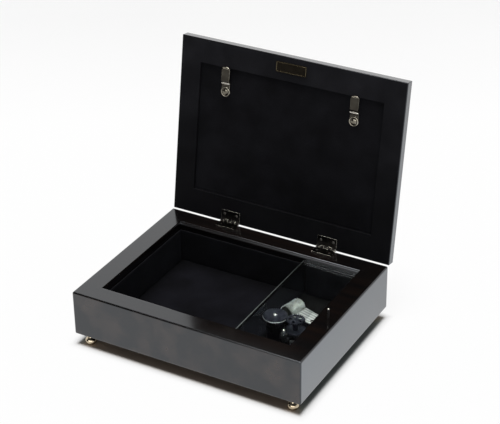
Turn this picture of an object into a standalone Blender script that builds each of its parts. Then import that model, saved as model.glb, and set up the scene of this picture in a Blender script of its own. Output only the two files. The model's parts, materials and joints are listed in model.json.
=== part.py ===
"""Musical jewelry box with a picture frame lid, stored with its lid open.

The case stands on four turned feet. X is its width, Y runs from front to back and Z is up, with the origin
at the centre of the case's flat underside. A glazed frame is the lid; it turns on two butt hinges. The
right-hand compartment holds a clockwork cylinder movement under glass: a spring barrel drives the pinned
cylinder past a tuned comb, and a compound idler drives the governor. A pin through the right rail stops it.
"""

import math

import bmesh
import bpy
from mathutils import Matrix, Vector

MM = 0.001
GAP = 0.3 * MM

# Case
CASE_W = 190.0 * MM
CASE_D = 142.5 * MM
CASE_H = 36.5 * MM
RAIL = 17.0 * MM
CASE_EDGE_R = 1.2 * MM
RIM_EDGE_R = 1.4 * MM
BOARD_T = 2.4 * MM
BOARD_LEDGE = 5.0 * MM
LINER_T = 1.3 * MM
LINER_DROP = 4.8 * MM
PAD_T = 1.2 * MM
FOOT_R = 4.4 * MM
FOOT_H = 9.2 * MM
FOOT_INSET_X = 9.3 * MM
FOOT_INSET_Y = 7.0 * MM

# Glass over and beside the movement
PARTITION_IN = 44.7 * MM
GLASS_T = 2.0 * MM

# Lid
LID_T = 7.2 * MM
LID_OPEN = math.radians(99.0)
LID_EDGE_R = 1.0 * MM
RECESS_W = 155.4 * MM
RECESS_D = 104.4 * MM
LIP_T = 1.3 * MM
LIP_REACH = 5.0 * MM
PANEL_T = 1.5 * MM
INSERT_T = 0.5 * MM
PICTURE_GLASS_T = 1.5 * MM

# Turn clips on the back panel of the lid
CLIP_X = 54.7 * MM
CLIP_T = 0.7 * MM
CLIP_W = 7.8 * MM
CLIP_TONGUE_W = 6.8 * MM
CLIP_REACH = 20.4 * MM
CLIP_STEP_AT = 7.2 * MM
CLIP_STEP_RUN = 2.0 * MM
CLIP_OVERLAP = 1.2 * MM
CLIP_SHANK_R = 1.2 * MM
CLIP_HEAD_R = 2.5 * MM
CLIP_HEAD_H = 0.9 * MM

# Hinges
HINGE_X = 42.5 * MM
HINGE_L = 16.5 * MM
HINGE_LEAF_D = 7.4 * MM
HINGE_LEAF_T = 0.6 * MM
HINGE_SEAT = 0.2 * MM
HINGE_GAP = 2.0 * MM
HINGE_BEHIND = 0.4 * MM
KNUCKLE_R = 1.2 * MM
HINGE_PIN_R = 0.5 * MM
KNUCKLES = 5

# Movement, placed by the barrel's axis and turned in its compartment
BARREL_IN = 33.9 * MM
BARREL_Y = -13.5 * MM
MOVEMENT_TURN = math.radians(-14.0)
MODULE = 0.52 * MM
MESH_PLAY = 0.1 * MM
BED_T = 2.5 * MM
BED_LEFT = -6.5 * MM
BED_RIGHT = 25.0 * MM
BED_FRONT = -12.0 * MM
BED_BACK = 30.5 * MM
WHEEL_RISE = 22.7 * MM
WHEEL_T = 1.2 * MM
WHEEL_TEETH = 34
CROWN_TEETH = 36
CROWN_IN_R = 7.3 * MM
CROWN_OUT_R = 8.6 * MM
CROWN_H = 1.0 * MM
DRUM_R = 6.9 * MM
DRUM_WALL = 0.6 * MM
ARBOR_R = 1.3 * MM
SPRING_TURNS = 5
SPRING_T = 0.35 * MM
PINION_TEETH = 13
PINION_W = 1.4 * MM
CYL_R = 5.5 * MM
CYL_FRONT = 12.0 * MM
CYL_L = 15.0 * MM
CYL_ARBOR_R = 0.9 * MM
PIN_H = 0.6 * MM
PIN_COLUMNS = 30
NOTES = 18
POST_T = 1.6 * MM
COMB_T = 0.8 * MM
COMB_SLIT = 0.31 * MM
COMB_BACK = 23.5 * MM
IDLER_TEETH = 26
IDLER_WAY = math.radians(21.3)
LOW_WHEEL_TEETH = 30
LOW_WHEEL_DROP = 8.9 * MM
STUD_R = 1.0 * MM
GOVERNOR_TEETH = 8
GOVERNOR_WAY = math.radians(254.3)
SPINDLE_R = 0.8 * MM
FAN_R = 4.4 * MM
FAN_H = 4.0 * MM

# Stop pin through the right rail and the lever under it
STOP_IN = 8.5 * MM
STOP_Y = -12.4 * MM
STOP_R = 0.7 * MM
STOP_RISE = 7.6 * MM
STOP_FOOT_R = 1.5 * MM
STOP_FOOT_LIFT = 9.9 * MM
LEVER_T = 0.8 * MM
LEVER_W = 3.6 * MM
LEVER_ARM = 18.1 * MM
LEVER_TAIL = 9.9 * MM
FINGER_H = 4.7 * MM
LEVER_WAY = math.radians(18.6)
POCKET_W = 11.0 * MM
POCKET_H = 16.8 * MM
POCKET_WALL = 5.4 * MM

# Winding key, and its hole in the bottom board
KEY_HOLE_R = 4.5 * MM
KEY_HUB_R = 2.6 * MM
KEY_HUB_H = 3.2 * MM
KEY_T = 1.6 * MM
KEY_L = 20.0 * MM
KEY_W = 5.6 * MM

# Places that follow from the sizes above
RIM = CASE_H
HINGE_Y = CASE_D / 2 + HINGE_BEHIND
HINGE_Z = RIM + HINGE_GAP / 2
INNER_X = CASE_W / 2 - RAIL
INNER_Y = CASE_D / 2 - RAIL
FLOOR = BOARD_T
LINER_TOP = RIM - LINER_DROP
PARTITION_X = INNER_X - PARTITION_IN
BARREL_X = INNER_X - BARREL_IN
STOP_X = CASE_W / 2 - STOP_IN
POCKET_END = CASE_W / 2 - POCKET_WALL

# Heights in the movement's frame, whose zero is the case's rim; all but the rim's own count from the floor
DEEP = -(CASE_H - BOARD_T)
BED_TOP = DEEP + GAP + BED_T
WHEEL_TOP = DEEP + WHEEL_RISE
WHEEL_BOTTOM = WHEEL_TOP - WHEEL_T
CROWN_R = (CROWN_IN_R + CROWN_OUT_R) / 2
PINION_R = CROWN_R * PINION_TEETH / CROWN_TEETH
CYL_Z = WHEEL_BOTTOM - CROWN_H / 2 - PINION_R
PITCH_R = {teeth: MODULE * teeth / 2 for teeth in (WHEEL_TEETH, IDLER_TEETH, LOW_WHEEL_TEETH, GOVERNOR_TEETH)}
IDLER_AT = Vector((math.cos(IDLER_WAY), math.sin(IDLER_WAY), 0)) * (
    PITCH_R[WHEEL_TEETH] + PITCH_R[IDLER_TEETH] + MESH_PLAY
)
GOVERNOR_AT = IDLER_AT + Vector((math.cos(GOVERNOR_WAY), math.sin(GOVERNOR_WAY), 0)) * (
    PITCH_R[LOW_WHEEL_TEETH] + PITCH_R[GOVERNOR_TEETH] + MESH_PLAY
)

FINISHES = {
    "lacquer": ((0.012, 0.008, 0.007), 0.08, 0.0),
    "satin_black": ((0.010, 0.010, 0.012), 0.45, 0.0),
    "velvet": ((0.006, 0.006, 0.008), 0.95, 0.0),
    "dark_board": ((0.020, 0.018, 0.016), 0.80, 0.0),
    "clear_glass": ((0.75, 0.88, 0.86), 0.03, 0.0),
    "card": ((0.80, 0.78, 0.72), 0.90, 0.0),
    "pale_gold": ((0.78, 0.66, 0.46), 0.22, 1.0),
    "nickel": ((0.72, 0.71, 0.68), 0.18, 1.0),
    "tempered_steel": ((0.60, 0.61, 0.60), 0.35, 1.0),
    "brass": ((0.72, 0.54, 0.27), 0.28, 1.0),
    "dark_polish": ((0.20, 0.20, 0.23), 0.12, 1.0),
    "black_fan": ((0.02, 0.02, 0.02), 0.50, 0.0),
}


def clear_scene():
    """Remove every object and make the two collections."""
    for obj in list(bpy.data.objects):
        bpy.data.objects.remove(obj, do_unlink=True)
    for name in ("musical_jewelry_box", "cutters"):
        bpy.context.scene.collection.children.link(bpy.data.collections.new(name))
    bpy.data.collections["cutters"].hide_render = True


def finish(node, kind):
    """A material of the piece's own, in the colour, roughness and metallic value of its kind."""
    colour, roughness, metallic = FINISHES[kind]
    made = bpy.data.materials.new(f"{node}_{kind}")
    made.use_nodes = True
    shader = made.node_tree.nodes["Principled BSDF"]
    shader.inputs["Base Color"].default_value = (*colour, 1.0)
    shader.inputs["Roughness"].default_value = roughness
    shader.inputs["Metallic"].default_value = metallic
    if kind == "clear_glass":
        shader.inputs["Transmission Weight"].default_value = 1.0
    return made


def place(name, mesh, at=(0, 0, 0), parent=None, turn=(0, 0, 0)):
    """Link a mesh as an object at a place in its parent's frame."""
    obj = bpy.data.objects.new(name, mesh)
    obj.location = at
    obj.rotation_euler = turn
    obj.parent = parent
    bpy.data.collections["musical_jewelry_box"].objects.link(obj)
    return obj


def frame_at(name, at, turn=(0, 0, 0), parent=None):
    """An empty that carries the pieces placed in its frame."""
    return place(name, None, at, parent, turn)


def as_mesh(name, bm):
    """Finish a bmesh as a mesh whose faces point out."""
    bmesh.ops.recalc_face_normals(bm, faces=bm.faces)
    mesh = bpy.data.meshes.new(name)
    bm.to_mesh(mesh)
    bm.free()
    return mesh


def box(name, size, centre, parent=None, turn=(0, 0, 0)):
    """A block of the given size about its centre."""
    bm = bmesh.new()
    bmesh.ops.create_cube(bm, size=1.0)
    bmesh.ops.scale(bm, vec=size, verts=bm.verts)
    return place(name, as_mesh(name, bm), centre, parent, turn)


def span(name, low, high, parent=None):
    """A block between two corners."""
    size = [b - a for a, b in zip(low, high)]
    centre = [(a + b) / 2 for a, b in zip(low, high)]
    return box(name, size, centre, parent)


def rod(name, radius, low, high, at=(0, 0), parent=None, sides=24):
    """An upright cylinder between two heights."""
    bm = bmesh.new()
    bmesh.ops.create_cone(bm, cap_ends=True, segments=sides, radius1=radius, radius2=radius, depth=high - low)
    return smooth(place(name, as_mesh(name, bm), (at[0], at[1], (low + high) / 2), parent))


def lying_rod(name, radius, front, back, height, x=0.0, parent=None, sides=24):
    """A cylinder along the local Y between two depths."""
    bm = bmesh.new()
    bmesh.ops.create_cone(bm, cap_ends=True, segments=sides, radius1=radius, radius2=radius, depth=back - front)
    bmesh.ops.rotate(bm, verts=bm.verts, matrix=Matrix.Rotation(math.radians(-90), 3, "X"))
    return smooth(place(name, as_mesh(name, bm), (x, (front + back) / 2, height), parent))


def turned(name, profile, at=(0, 0, 0), parent=None, steps=32, ring=False, turn=(0, 0, 0)):
    """Spin a profile of (radius, height) points, listed from the top down the outer side, about local Z."""
    ends = [(i, i + 1) for i in range(len(profile) - 1)]
    if ring:
        ends.append((len(profile) - 1, 0))
    mesh = bpy.data.meshes.new(name)
    mesh.from_pydata([(radius, 0, height) for radius, height in profile], ends, [])
    obj = place(name, mesh, at, parent, turn)
    screw = obj.modifiers.new("spin", "SCREW")
    screw.steps = steps
    screw.render_steps = steps
    screw.use_merge_vertices = True
    screw.merge_threshold = 0.00001
    bake(obj)
    return smooth(obj)


def plate(name, outlines, thickness, at=(0, 0, 0), parent=None, turn=(0, 0, 0)):
    """A flat sheet with the given outline, and holes where further outlines are given, centred on its middle."""
    curve = bpy.data.curves.new(name, "CURVE")
    curve.dimensions = "2D"
    curve.fill_mode = "BOTH"
    curve.extrude = thickness / 2
    for outline in outlines:
        spline = curve.splines.new("POLY")
        spline.points.add(len(outline) - 1)
        for point, (x, y) in zip(spline.points, outline):
            point.co = (x, y, 0, 1)
        spline.use_cyclic_u = True
    drawn = place(name + "_outline", curve)
    bpy.context.view_layer.update()
    mesh = bpy.data.meshes.new_from_object(drawn.evaluated_get(bpy.context.evaluated_depsgraph_get()))
    bpy.data.objects.remove(drawn)
    bm = bmesh.new()
    bm.from_mesh(mesh)
    bmesh.ops.remove_doubles(bm, verts=bm.verts, dist=1e-7)
    bpy.data.meshes.remove(mesh)
    return place(name, as_mesh(name, bm), at, parent, turn)


def bake(obj):
    """Replace an object's mesh by what its modifiers make of it."""
    bpy.context.view_layer.update()
    made = bpy.data.meshes.new_from_object(obj.evaluated_get(bpy.context.evaluated_depsgraph_get()))
    obj.modifiers.clear()
    obj.data = made
    return obj


def combine(obj, other, operation):
    """Cut, join or intersect with another object, which then stays as a hidden helper."""
    for home in list(other.users_collection):
        home.objects.unlink(other)
    bpy.data.collections["cutters"].objects.link(other)
    other.hide_render = True
    other.display_type = "WIRE"
    step = obj.modifiers.new(other.name, "BOOLEAN")
    step.operation = operation
    step.solver = "EXACT"
    step.object = other
    return obj


def cut(obj, *others):
    for other in others:
        combine(obj, other, "DIFFERENCE")
    return obj


def join(obj, *others):
    for other in others:
        combine(obj, other, "UNION")
    return obj


def ease(obj, test, width, segments):
    """Round the edges whose two ends both pass the test."""
    bm = bmesh.new()
    bm.from_mesh(obj.data)
    edges = [edge for edge in bm.edges if edge.calc_length() > 2 * width and all(test(v.co) for v in edge.verts)]
    bmesh.ops.bevel(bm, geom=edges, offset=width, segments=segments, profile=0.5, affect="EDGES", clamp_overlap=True)
    bm.to_mesh(obj.data)
    bm.free()
    return smooth(obj)


def soften(obj, width, segments=2):
    """Round every sharp edge of a block."""
    rounding = obj.modifiers.new("rounding", "BEVEL")
    rounding.width = width
    rounding.segments = segments
    rounding.limit_method = "ANGLE"
    return smooth(bake(obj))


def smooth(obj):
    obj.data.shade_smooth()
    obj.data.set_sharp_from_angle(angle=math.radians(35))
    return obj


def dress(obj, kind):
    """Bake a finished piece and give it its material."""
    bake(obj)
    obj.data.materials.clear()
    obj.data.materials.append(finish(obj.name, kind))
    return smooth(obj)


def circle(radius, sides=24, centre=(0, 0)):
    steps = [2 * math.pi * i / sides for i in range(sides)]
    return [(centre[0] + radius * math.cos(a), centre[1] + radius * math.sin(a)) for a in steps]


def rectangle(low_x, low_y, high_x, high_y):
    return [(low_x, low_y), (high_x, low_y), (high_x, high_y), (low_x, high_y)]


def arc(centre, radius, start, end, pieces=8):
    """Points along an arc, angles in degrees."""
    steps = [math.radians(start + (end - start) * i / pieces) for i in range(pieces + 1)]
    return [(centre[0] + radius * math.cos(a), centre[1] + radius * math.sin(a)) for a in steps]


def gear_outline(teeth, pitch_r, module, phase=0.0):
    """Teeth with straight flanks: wide at the root circle, narrow at the tip circle."""
    step = 2 * math.pi / teeth
    tip_r = pitch_r + 0.75 * module
    root_r = pitch_r - 1.15 * module
    points = []
    for tooth in range(teeth):
        middle = phase + tooth * step
        for radius, share in ((root_r, -0.27), (tip_r, -0.12), (tip_r, 0.12), (root_r, 0.27)):
            angle = middle + share * step
            points.append((radius * math.cos(angle), radius * math.sin(angle)))
    return points


def meshing_phase(way, teeth_a, phase_a, teeth_b):
    """The phase of gear b, which lies in direction way from gear a, that puts its teeth in a's gaps."""
    step_a = 2 * math.pi / teeth_a
    step_b = 2 * math.pi / teeth_b
    into_a = ((way - phase_a) / step_a) % 1.0
    return way + math.pi - step_b * (0.5 - into_a)


def build_case():
    """Lacquered case with its rebated bottom board, the stop pin's bore and the lever's pocket."""
    case = box("case_frame", (CASE_W, CASE_D, CASE_H), (0, 0, CASE_H / 2))
    soften(case, CASE_EDGE_R, 3)
    opening = span(
        "case_opening",
        (-INNER_X, -INNER_Y, -MM),
        (INNER_X, INNER_Y, RIM + MM),
    )
    rebate = span(
        "board_rebate",
        (-INNER_X - BOARD_LEDGE, -INNER_Y - BOARD_LEDGE, -MM),
        (INNER_X + BOARD_LEDGE, INNER_Y + BOARD_LEDGE, BOARD_T + GAP),
    )
    pocket_low = BOARD_T + GAP + 0.4 * MM
    pocket = span(
        "lever_pocket",
        (INNER_X - MM, STOP_Y - POCKET_W / 2 - MM, pocket_low),
        (POCKET_END, STOP_Y + POCKET_W / 2 - MM, pocket_low + POCKET_H),
    )
    bore = rod("stop_bore", STOP_R + GAP, pocket_low + POCKET_H / 2, RIM + MM, (STOP_X, STOP_Y), sides=16)
    bake(cut(case, opening, rebate, pocket, bore))
    dress(case, "lacquer")

    def on_rim(co):
        inside_x = abs(co.x) < INNER_X + GAP
        inside_y = abs(co.y) < INNER_Y + GAP
        return abs(co.z + CASE_H / 2 - RIM) < GAP and inside_x and inside_y

    ease(case, on_rim, RIM_EDGE_R, 2)

    board = span(
        "bottom_board",
        (-INNER_X - BOARD_LEDGE + GAP, -INNER_Y - BOARD_LEDGE + GAP, 0),
        (INNER_X + BOARD_LEDGE - GAP, INNER_Y + BOARD_LEDGE - GAP, BOARD_T),
    )
    key_hole = rod("key_hole", KEY_HOLE_R, -MM, BOARD_T + MM, (BARREL_X, BARREL_Y))
    dress(cut(board, key_hole), "dark_board")

    foot_profile = [
        (0, 0),
        (0.66 * FOOT_R, 0),
        (0.66 * FOOT_R, -0.10 * FOOT_H),
        (0.46 * FOOT_R, -0.17 * FOOT_H),
        (0.40 * FOOT_R, -0.30 * FOOT_H),
        (0.46 * FOOT_R, -0.42 * FOOT_H),
        (0.74 * FOOT_R, -0.52 * FOOT_H),
        (0.95 * FOOT_R, -0.62 * FOOT_H),
        (FOOT_R, -0.73 * FOOT_H),
        (0.96 * FOOT_R, -0.86 * FOOT_H),
        (0.84 * FOOT_R, -0.95 * FOOT_H),
        (0.66 * FOOT_R, -FOOT_H),
        (0, -FOOT_H),
    ]
    for side, x in (("left", -1), ("right", 1)):
        for end, y in (("front", -1), ("back", 1)):
            foot = turned(
                f"foot_{end}_{side}",
                foot_profile,
                (x * (CASE_W / 2 - FOOT_INSET_X), y * (CASE_D / 2 - FOOT_INSET_Y), -GAP),
            )
            dress(foot, "pale_gold")


def build_linings():
    """Velvet covered cards on the walls and floor, the glass partition between them and the glass cover."""
    left = -INNER_X + GAP
    right = INNER_X - GAP
    depth = INNER_Y - GAP
    glass_left = PARTITION_X - GLASS_T / 2
    glass_right = PARTITION_X + GLASS_T / 2
    floor = FLOOR + GAP
    for end, y in (("front", -depth), ("back", depth - LINER_T)):
        jewel = span(
            f"jewel_liner_{end}",
            (left, y, floor),
            (glass_left - GAP, y + LINER_T, LINER_TOP),
        )
        music = span(
            f"music_liner_{end}",
            (glass_right + GAP, y, floor),
            (right, y + LINER_T, LINER_TOP),
        )
        dress(soften(jewel, 0.3 * MM), "velvet")
        dress(soften(music, 0.3 * MM), "velvet")
    inner = depth - LINER_T - GAP
    side = span("jewel_liner_left", (left, -inner, floor), (left + LINER_T, inner, LINER_TOP))
    dress(soften(side, 0.3 * MM), "velvet")
    side = span("music_liner_right", (right - LINER_T, -inner, floor), (right, inner, LINER_TOP))
    soften(side, 0.3 * MM)
    notch_top = BOARD_T + GAP + 0.4 * MM + POCKET_H
    notch = span(
        "lever_notch",
        (right - LINER_T - MM, STOP_Y - POCKET_W / 2 - MM, floor - MM),
        (right + MM, STOP_Y + POCKET_W / 2 - MM, notch_top),
    )
    dress(cut(side, notch), "velvet")
    pad = span(
        "jewel_floor_pad",
        (left + LINER_T + GAP, -inner, floor),
        (glass_left - GAP, inner, floor + PAD_T),
    )
    dress(soften(pad, 0.3 * MM), "velvet")

    pane = span("glass_partition", (glass_left, -depth, floor), (glass_right, depth, LINER_TOP))
    dress(pane, "clear_glass")
    cover = span(
        "glass_cover",
        (glass_left, -depth, LINER_TOP + GAP),
        (right, depth, LINER_TOP + GAP + GLASS_T),
    )
    dress(soften(cover, 0.25 * MM), "clear_glass")


def knuckle_tube(name, parent, x_low, x_high):
    """One tube of a hinge, along X."""
    profile = [
        (KNUCKLE_R, (x_high - x_low) / 2),
        (KNUCKLE_R, (x_low - x_high) / 2),
        (HINGE_PIN_R + GAP, (x_low - x_high) / 2),
        (HINGE_PIN_R + GAP, (x_high - x_low) / 2),
    ]
    return turned(name, profile, ((x_low + x_high) / 2, 0, 0), parent, 20, ring=True, turn=(0, math.pi / 2, 0))


def build_leaf(name, parent, x, up, first):
    """A hinge leaf in its pivot's frame: its sheet, and the knuckles that it owns counted from first by twos."""
    pitch = HINGE_L / KNUCKLES
    sheet_z = up * (HINGE_GAP / 2 - HINGE_SEAT - HINGE_LEAF_T / 2)
    leaf = box(
        name,
        (HINGE_L, HINGE_LEAF_D, HINGE_LEAF_T),
        (x, -KNUCKLE_R - GAP - HINGE_LEAF_D / 2, sheet_z),
        parent,
    )
    for number in range(first, KNUCKLES, 2):
        low = x - HINGE_L / 2 + number * pitch + GAP / 2
        high = low + pitch - GAP
        reach = KNUCKLE_R + GAP + MM
        wall = HINGE_PIN_R + GAP
        finger = box(
            f"{name}_finger_{number}",
            (high - low, reach - wall, HINGE_LEAF_T),
            ((low + high) / 2, -(reach + wall) / 2, sheet_z),
            parent,
        )
        join(leaf, finger, knuckle_tube(f"{name}_knuckle_{number}", parent, low, high))
    return dress(leaf, "pale_gold")


def build_hinges(case_side, lid_side):
    """Two butt hinges. The case leaf owns three knuckles and the lid leaf two; the pin lies through all five."""
    for side, x in (("left", -HINGE_X), ("right", HINGE_X)):
        build_leaf(f"hinge_{side}_case_leaf", case_side, x, -1, 0)
        build_leaf(f"hinge_{side}_lid_leaf", lid_side, x, 1, 1)
        ends = HINGE_L / 2 + 0.4 * MM
        profile = [(0, ends), (0.6 * HINGE_PIN_R, ends), (HINGE_PIN_R, ends - 0.3 * MM)]
        profile += [(HINGE_PIN_R, 0.3 * MM - ends), (0.6 * HINGE_PIN_R, -ends), (0, -ends)]
        pin = turned(f"hinge_{side}_pin", profile, (x, 0, 0), case_side, 16, turn=(0, math.pi / 2, 0))
        dress(pin, "nickel")


def build_lid(pivot):
    """Lid in its pivot's frame, as if closed: the frame with its lip, then glass, insert and velvet panel."""
    under = HINGE_GAP / 2
    middle = -HINGE_BEHIND - CASE_D / 2
    lip = under + LID_T - LIP_T
    frame = box("lid_frame", (CASE_W, CASE_D, LID_T), (0, middle, under + LID_T / 2), pivot)
    soften(frame, LID_EDGE_R, 3)
    half_w = RECESS_W / 2
    half_d = RECESS_D / 2
    recess = span(
        "lid_recess",
        (-half_w, middle - half_d, under - MM),
        (half_w, middle + half_d, lip),
        pivot,
    )
    window = span(
        "lid_window",
        (LIP_REACH - half_w, middle - half_d + LIP_REACH, under),
        (half_w - LIP_REACH, middle + half_d - LIP_REACH, under + LID_T + MM),
        pivot,
    )
    bake(cut(frame, recess, window))
    dress(frame, "satin_black")

    def on_window(co):
        return abs(co.z - LID_T / 2) < GAP and abs(co.x) < half_w and abs(co.y) < half_d

    ease(frame, on_window, 0.5 * MM, 2)

    fit_w = half_w - GAP
    fit_d = half_d - GAP

    def layer(name, top, thickness):
        return span(name, (-fit_w, middle - fit_d, top - thickness), (fit_w, middle + fit_d, top), pivot)

    glass_top = lip - GAP
    dress(layer("picture_glass", glass_top, PICTURE_GLASS_T), "clear_glass")
    insert_top = glass_top - PICTURE_GLASS_T - GAP
    dress(layer("picture_insert", insert_top, INSERT_T), "card")
    panel_top = insert_top - INSERT_T - GAP
    panel = layer("lid_back_panel", panel_top, PANEL_T)
    soften(panel, 0.4 * MM)

    panel_face = panel_top - PANEL_T
    clip_y = middle - half_d - CLIP_OVERLAP + CLIP_REACH
    for side, x in (("left", -CLIP_X), ("right", CLIP_X)):
        hole = rod(
            f"clip_{side}_hole",
            CLIP_SHANK_R + GAP,
            panel_face - MM,
            panel_top + MM,
            (x, clip_y),
            pivot,
            16,
        )
        cut(panel, hole)
        build_clip(side, pivot, (x, clip_y, panel_face), under)
    dress(panel, "velvet")


def build_clip(side, pivot, at, under):
    """Stepped turn clip: a round eye on the panel, a step up, and a tongue that lies over the lid's rail."""
    eye = at[2] - GAP - CLIP_T / 2
    tongue = under - GAP - CLIP_T / 2
    rise = tongue - eye
    half = CLIP_T / 2
    round_r = CLIP_W / 2
    step_end = CLIP_STEP_AT + CLIP_STEP_RUN
    bend = [
        (-round_r - MM, -half),
        (CLIP_STEP_AT, -half),
        (step_end, rise - half),
        (CLIP_REACH + MM, rise - half),
        (CLIP_REACH + MM, rise + half),
        (step_end, rise + half),
        (CLIP_STEP_AT, half),
        (-round_r - MM, half),
    ]
    clip = plate(f"turn_clip_{side}", [bend], CLIP_W + MM)
    clip.data.transform(Matrix.Rotation(math.radians(90), 4, "X"))
    clip.data.transform(Matrix.Rotation(math.radians(-90), 4, "Z"))
    clip.parent = pivot
    clip.location = (at[0], at[1], eye)
    tip_r = 0.42 * CLIP_TONGUE_W
    corner = CLIP_TONGUE_W / 2 - tip_r
    neck = math.degrees(math.acos(CLIP_TONGUE_W / CLIP_W))
    outline = arc((0, 0), round_r, -neck, 180 + neck, 18)
    outline += arc((-corner, -CLIP_REACH + tip_r), tip_r, 180, 270, 6)
    outline += arc((corner, -CLIP_REACH + tip_r), tip_r, 270, 360, 6)
    shape = plate(f"clip_{side}_shape", [outline], 8 * MM, clip.location, pivot)
    hole = rod(f"clip_{side}_eye", CLIP_SHANK_R + GAP, eye - 2 * MM, eye + 2 * MM, at[:2], pivot, 16)
    combine(clip, shape, "INTERSECT")
    cut(clip, hole)
    dress(clip, "nickel")

    head = eye - half - GAP
    profile = [
        (0, PANEL_T * 0.8 + CLIP_T + 2 * GAP),
        (CLIP_SHANK_R, PANEL_T * 0.8 + CLIP_T + 2 * GAP),
        (CLIP_SHANK_R, 0),
        (CLIP_HEAD_R, 0),
        (CLIP_HEAD_R, -0.25 * CLIP_HEAD_H),
        (0.80 * CLIP_HEAD_R, -0.70 * CLIP_HEAD_H),
        (0.45 * CLIP_HEAD_R, -0.94 * CLIP_HEAD_H),
        (0, -CLIP_HEAD_H),
    ]
    dress(turned(f"clip_screw_{side}", profile, (at[0], at[1], head), pivot, 20), "nickel")


def build_bed(home):
    """Cast bed plate with the cylinder's two bearing posts, the comb's seat and the lever's tab."""
    bed_low = DEEP + GAP
    middle_x = (BED_LEFT + BED_RIGHT) / 2
    middle_y = (BED_FRONT + BED_BACK) / 2
    size = (BED_RIGHT - BED_LEFT, BED_BACK - BED_FRONT, BED_T)
    bed = box("movement_bed", size, (middle_x, middle_y, bed_low + BED_T / 2), home)
    soften(bed, 0.6 * MM)
    bore = rod("bed_arbor_bore", ARBOR_R + 2 * GAP, bed_low - MM, BED_TOP + MM, (0, 0), home)
    post_w = 3.2 * MM
    foot = BED_TOP - 0.5 * MM
    for end, y in (("front", CYL_FRONT - GAP - POST_T - 0.6 * MM), ("back", CYL_FRONT + CYL_L + GAP + 0.3 * MM)):
        outline = [(-1.3 * post_w, foot), (1.3 * post_w, foot)]
        outline += arc((0, CYL_Z), 0.8 * post_w, 0, 180, 10)
        post = plate(
            f"bearing_post_{end}",
            [outline, circle(CYL_ARBOR_R + GAP, 16, (0, CYL_Z))],
            POST_T,
            (0, y + POST_T / 2, 0),
            home,
            (math.radians(90), 0, 0),
        )
        join(bed, post)
    seat = span(
        "comb_seat",
        (COMB_BACK - 5.2 * MM, CYL_FRONT + 2.5 * MM, foot),
        (COMB_BACK + 0.8 * MM, CYL_FRONT + CYL_L, CYL_Z - COMB_T / 2 - GAP),
        home,
    )
    join(bed, seat)
    ear_x, ear_y = lever_pivot_in_bed()
    tab = span(
        "lever_tab",
        (BED_RIGHT - 2 * MM, ear_y - 5.0 * MM, bed_low + 0.3 * MM),
        (ear_x + 3.0 * MM, ear_y + 3.0 * MM, BED_TOP - 0.3 * MM),
        home,
    )
    join(bed, tab)
    cut(bed, bore)
    dress(bed, "dark_polish")


def lever_pivot_in_case():
    """The lever's pivot in plan, reached from the stop pin back along the lever."""
    return (
        STOP_X - LEVER_ARM * math.cos(LEVER_WAY),
        STOP_Y - LEVER_ARM * math.sin(LEVER_WAY),
    )


def lever_pivot_in_bed():
    """The same place in the turned frame of the movement."""
    away = Vector(lever_pivot_in_case()) - Vector((BARREL_X, BARREL_Y))
    turned_back = Matrix.Rotation(-MOVEMENT_TURN, 2) @ away
    return turned_back.x, turned_back.y


def build_barrel(home):
    """Spring barrel: drum, coiled mainspring and the great wheel, whose crown teeth hang under its rim."""
    low = BED_TOP + GAP
    top = WHEEL_BOTTOM - GAP
    wall_r = DRUM_R - DRUM_WALL
    profile = [
        (wall_r, top),
        (DRUM_R, top),
        (DRUM_R, low),
        (ARBOR_R + GAP, low),
        (ARBOR_R + GAP, low + 0.8 * MM),
        (wall_r, low + 0.8 * MM),
    ]
    dress(turned("barrel_drum", profile, (0, 0, 0), home, 40, ring=True), "nickel")

    start = ARBOR_R + 0.5 * MM
    end = wall_r - GAP - SPRING_T
    count = SPRING_TURNS * 16
    outer = []
    inner = []
    for i in range(count + 1):
        angle = 2 * math.pi * SPRING_TURNS * i / count
        radius = start + (end - start) * i / count
        inner.append((radius * math.cos(angle), radius * math.sin(angle)))
        outer.append(((radius + SPRING_T) * math.cos(angle), (radius + SPRING_T) * math.sin(angle)))
    pitch = (end - start) / SPRING_TURNS
    print(f"mainspring: {pitch - SPRING_T:.6f} m between its turns")
    strip_low = low + 0.8 * MM + GAP
    strip_h = top - GAP - strip_low
    strip = plate("mainspring", [outer + inner[::-1]], strip_h, (0, 0, strip_low + strip_h / 2), home)
    dress(strip, "tempered_steel")

    wheel = plate(
        "great_wheel",
        [gear_outline(WHEEL_TEETH, PITCH_R[WHEEL_TEETH], MODULE), circle(ARBOR_R + GAP, 20)],
        WHEEL_T,
        (0, 0, WHEEL_TOP - WHEEL_T / 2),
        home,
    )
    ring = crown_ring(home)
    dress(join(wheel, ring), "dark_polish")


def crown_ring(home):
    """Ring of square teeth that hang down, with the gap between two of them facing the cylinder."""
    sectors = 2 * CROWN_TEETH
    turn = 2 * math.pi / sectors
    phase = math.pi / 2 - turn / 2
    bm = bmesh.new()
    loops = []
    for radius in (CROWN_IN_R, CROWN_OUT_R):
        loops.append([])
        for i in range(sectors):
            shift = 0.06 if i % 2 else -0.06
            angle = phase + (i + shift) * turn
            loops[-1].append(bm.verts.new((radius * math.cos(angle), radius * math.sin(angle), 0)))
    faces = []
    for i in range(sectors):
        j = (i + 1) % sectors
        faces.append(bm.faces.new((loops[0][i], loops[0][j], loops[1][j], loops[1][i])))
    base = bmesh.ops.extrude_face_region(bm, geom=faces)
    raised = [item for item in base["geom"] if isinstance(item, bmesh.types.BMVert)]
    bmesh.ops.translate(bm, verts=raised, vec=(0, 0, 0.4 * MM))
    teeth = bmesh.ops.extrude_discrete_faces(bm, faces=faces[1::2])
    for face in teeth["faces"]:
        bmesh.ops.translate(bm, verts=face.verts, vec=(0, 0, -CROWN_H))
    return place("crown_teeth", as_mesh("crown_teeth", bm), (0, 0, WHEEL_BOTTOM), home)


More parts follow.
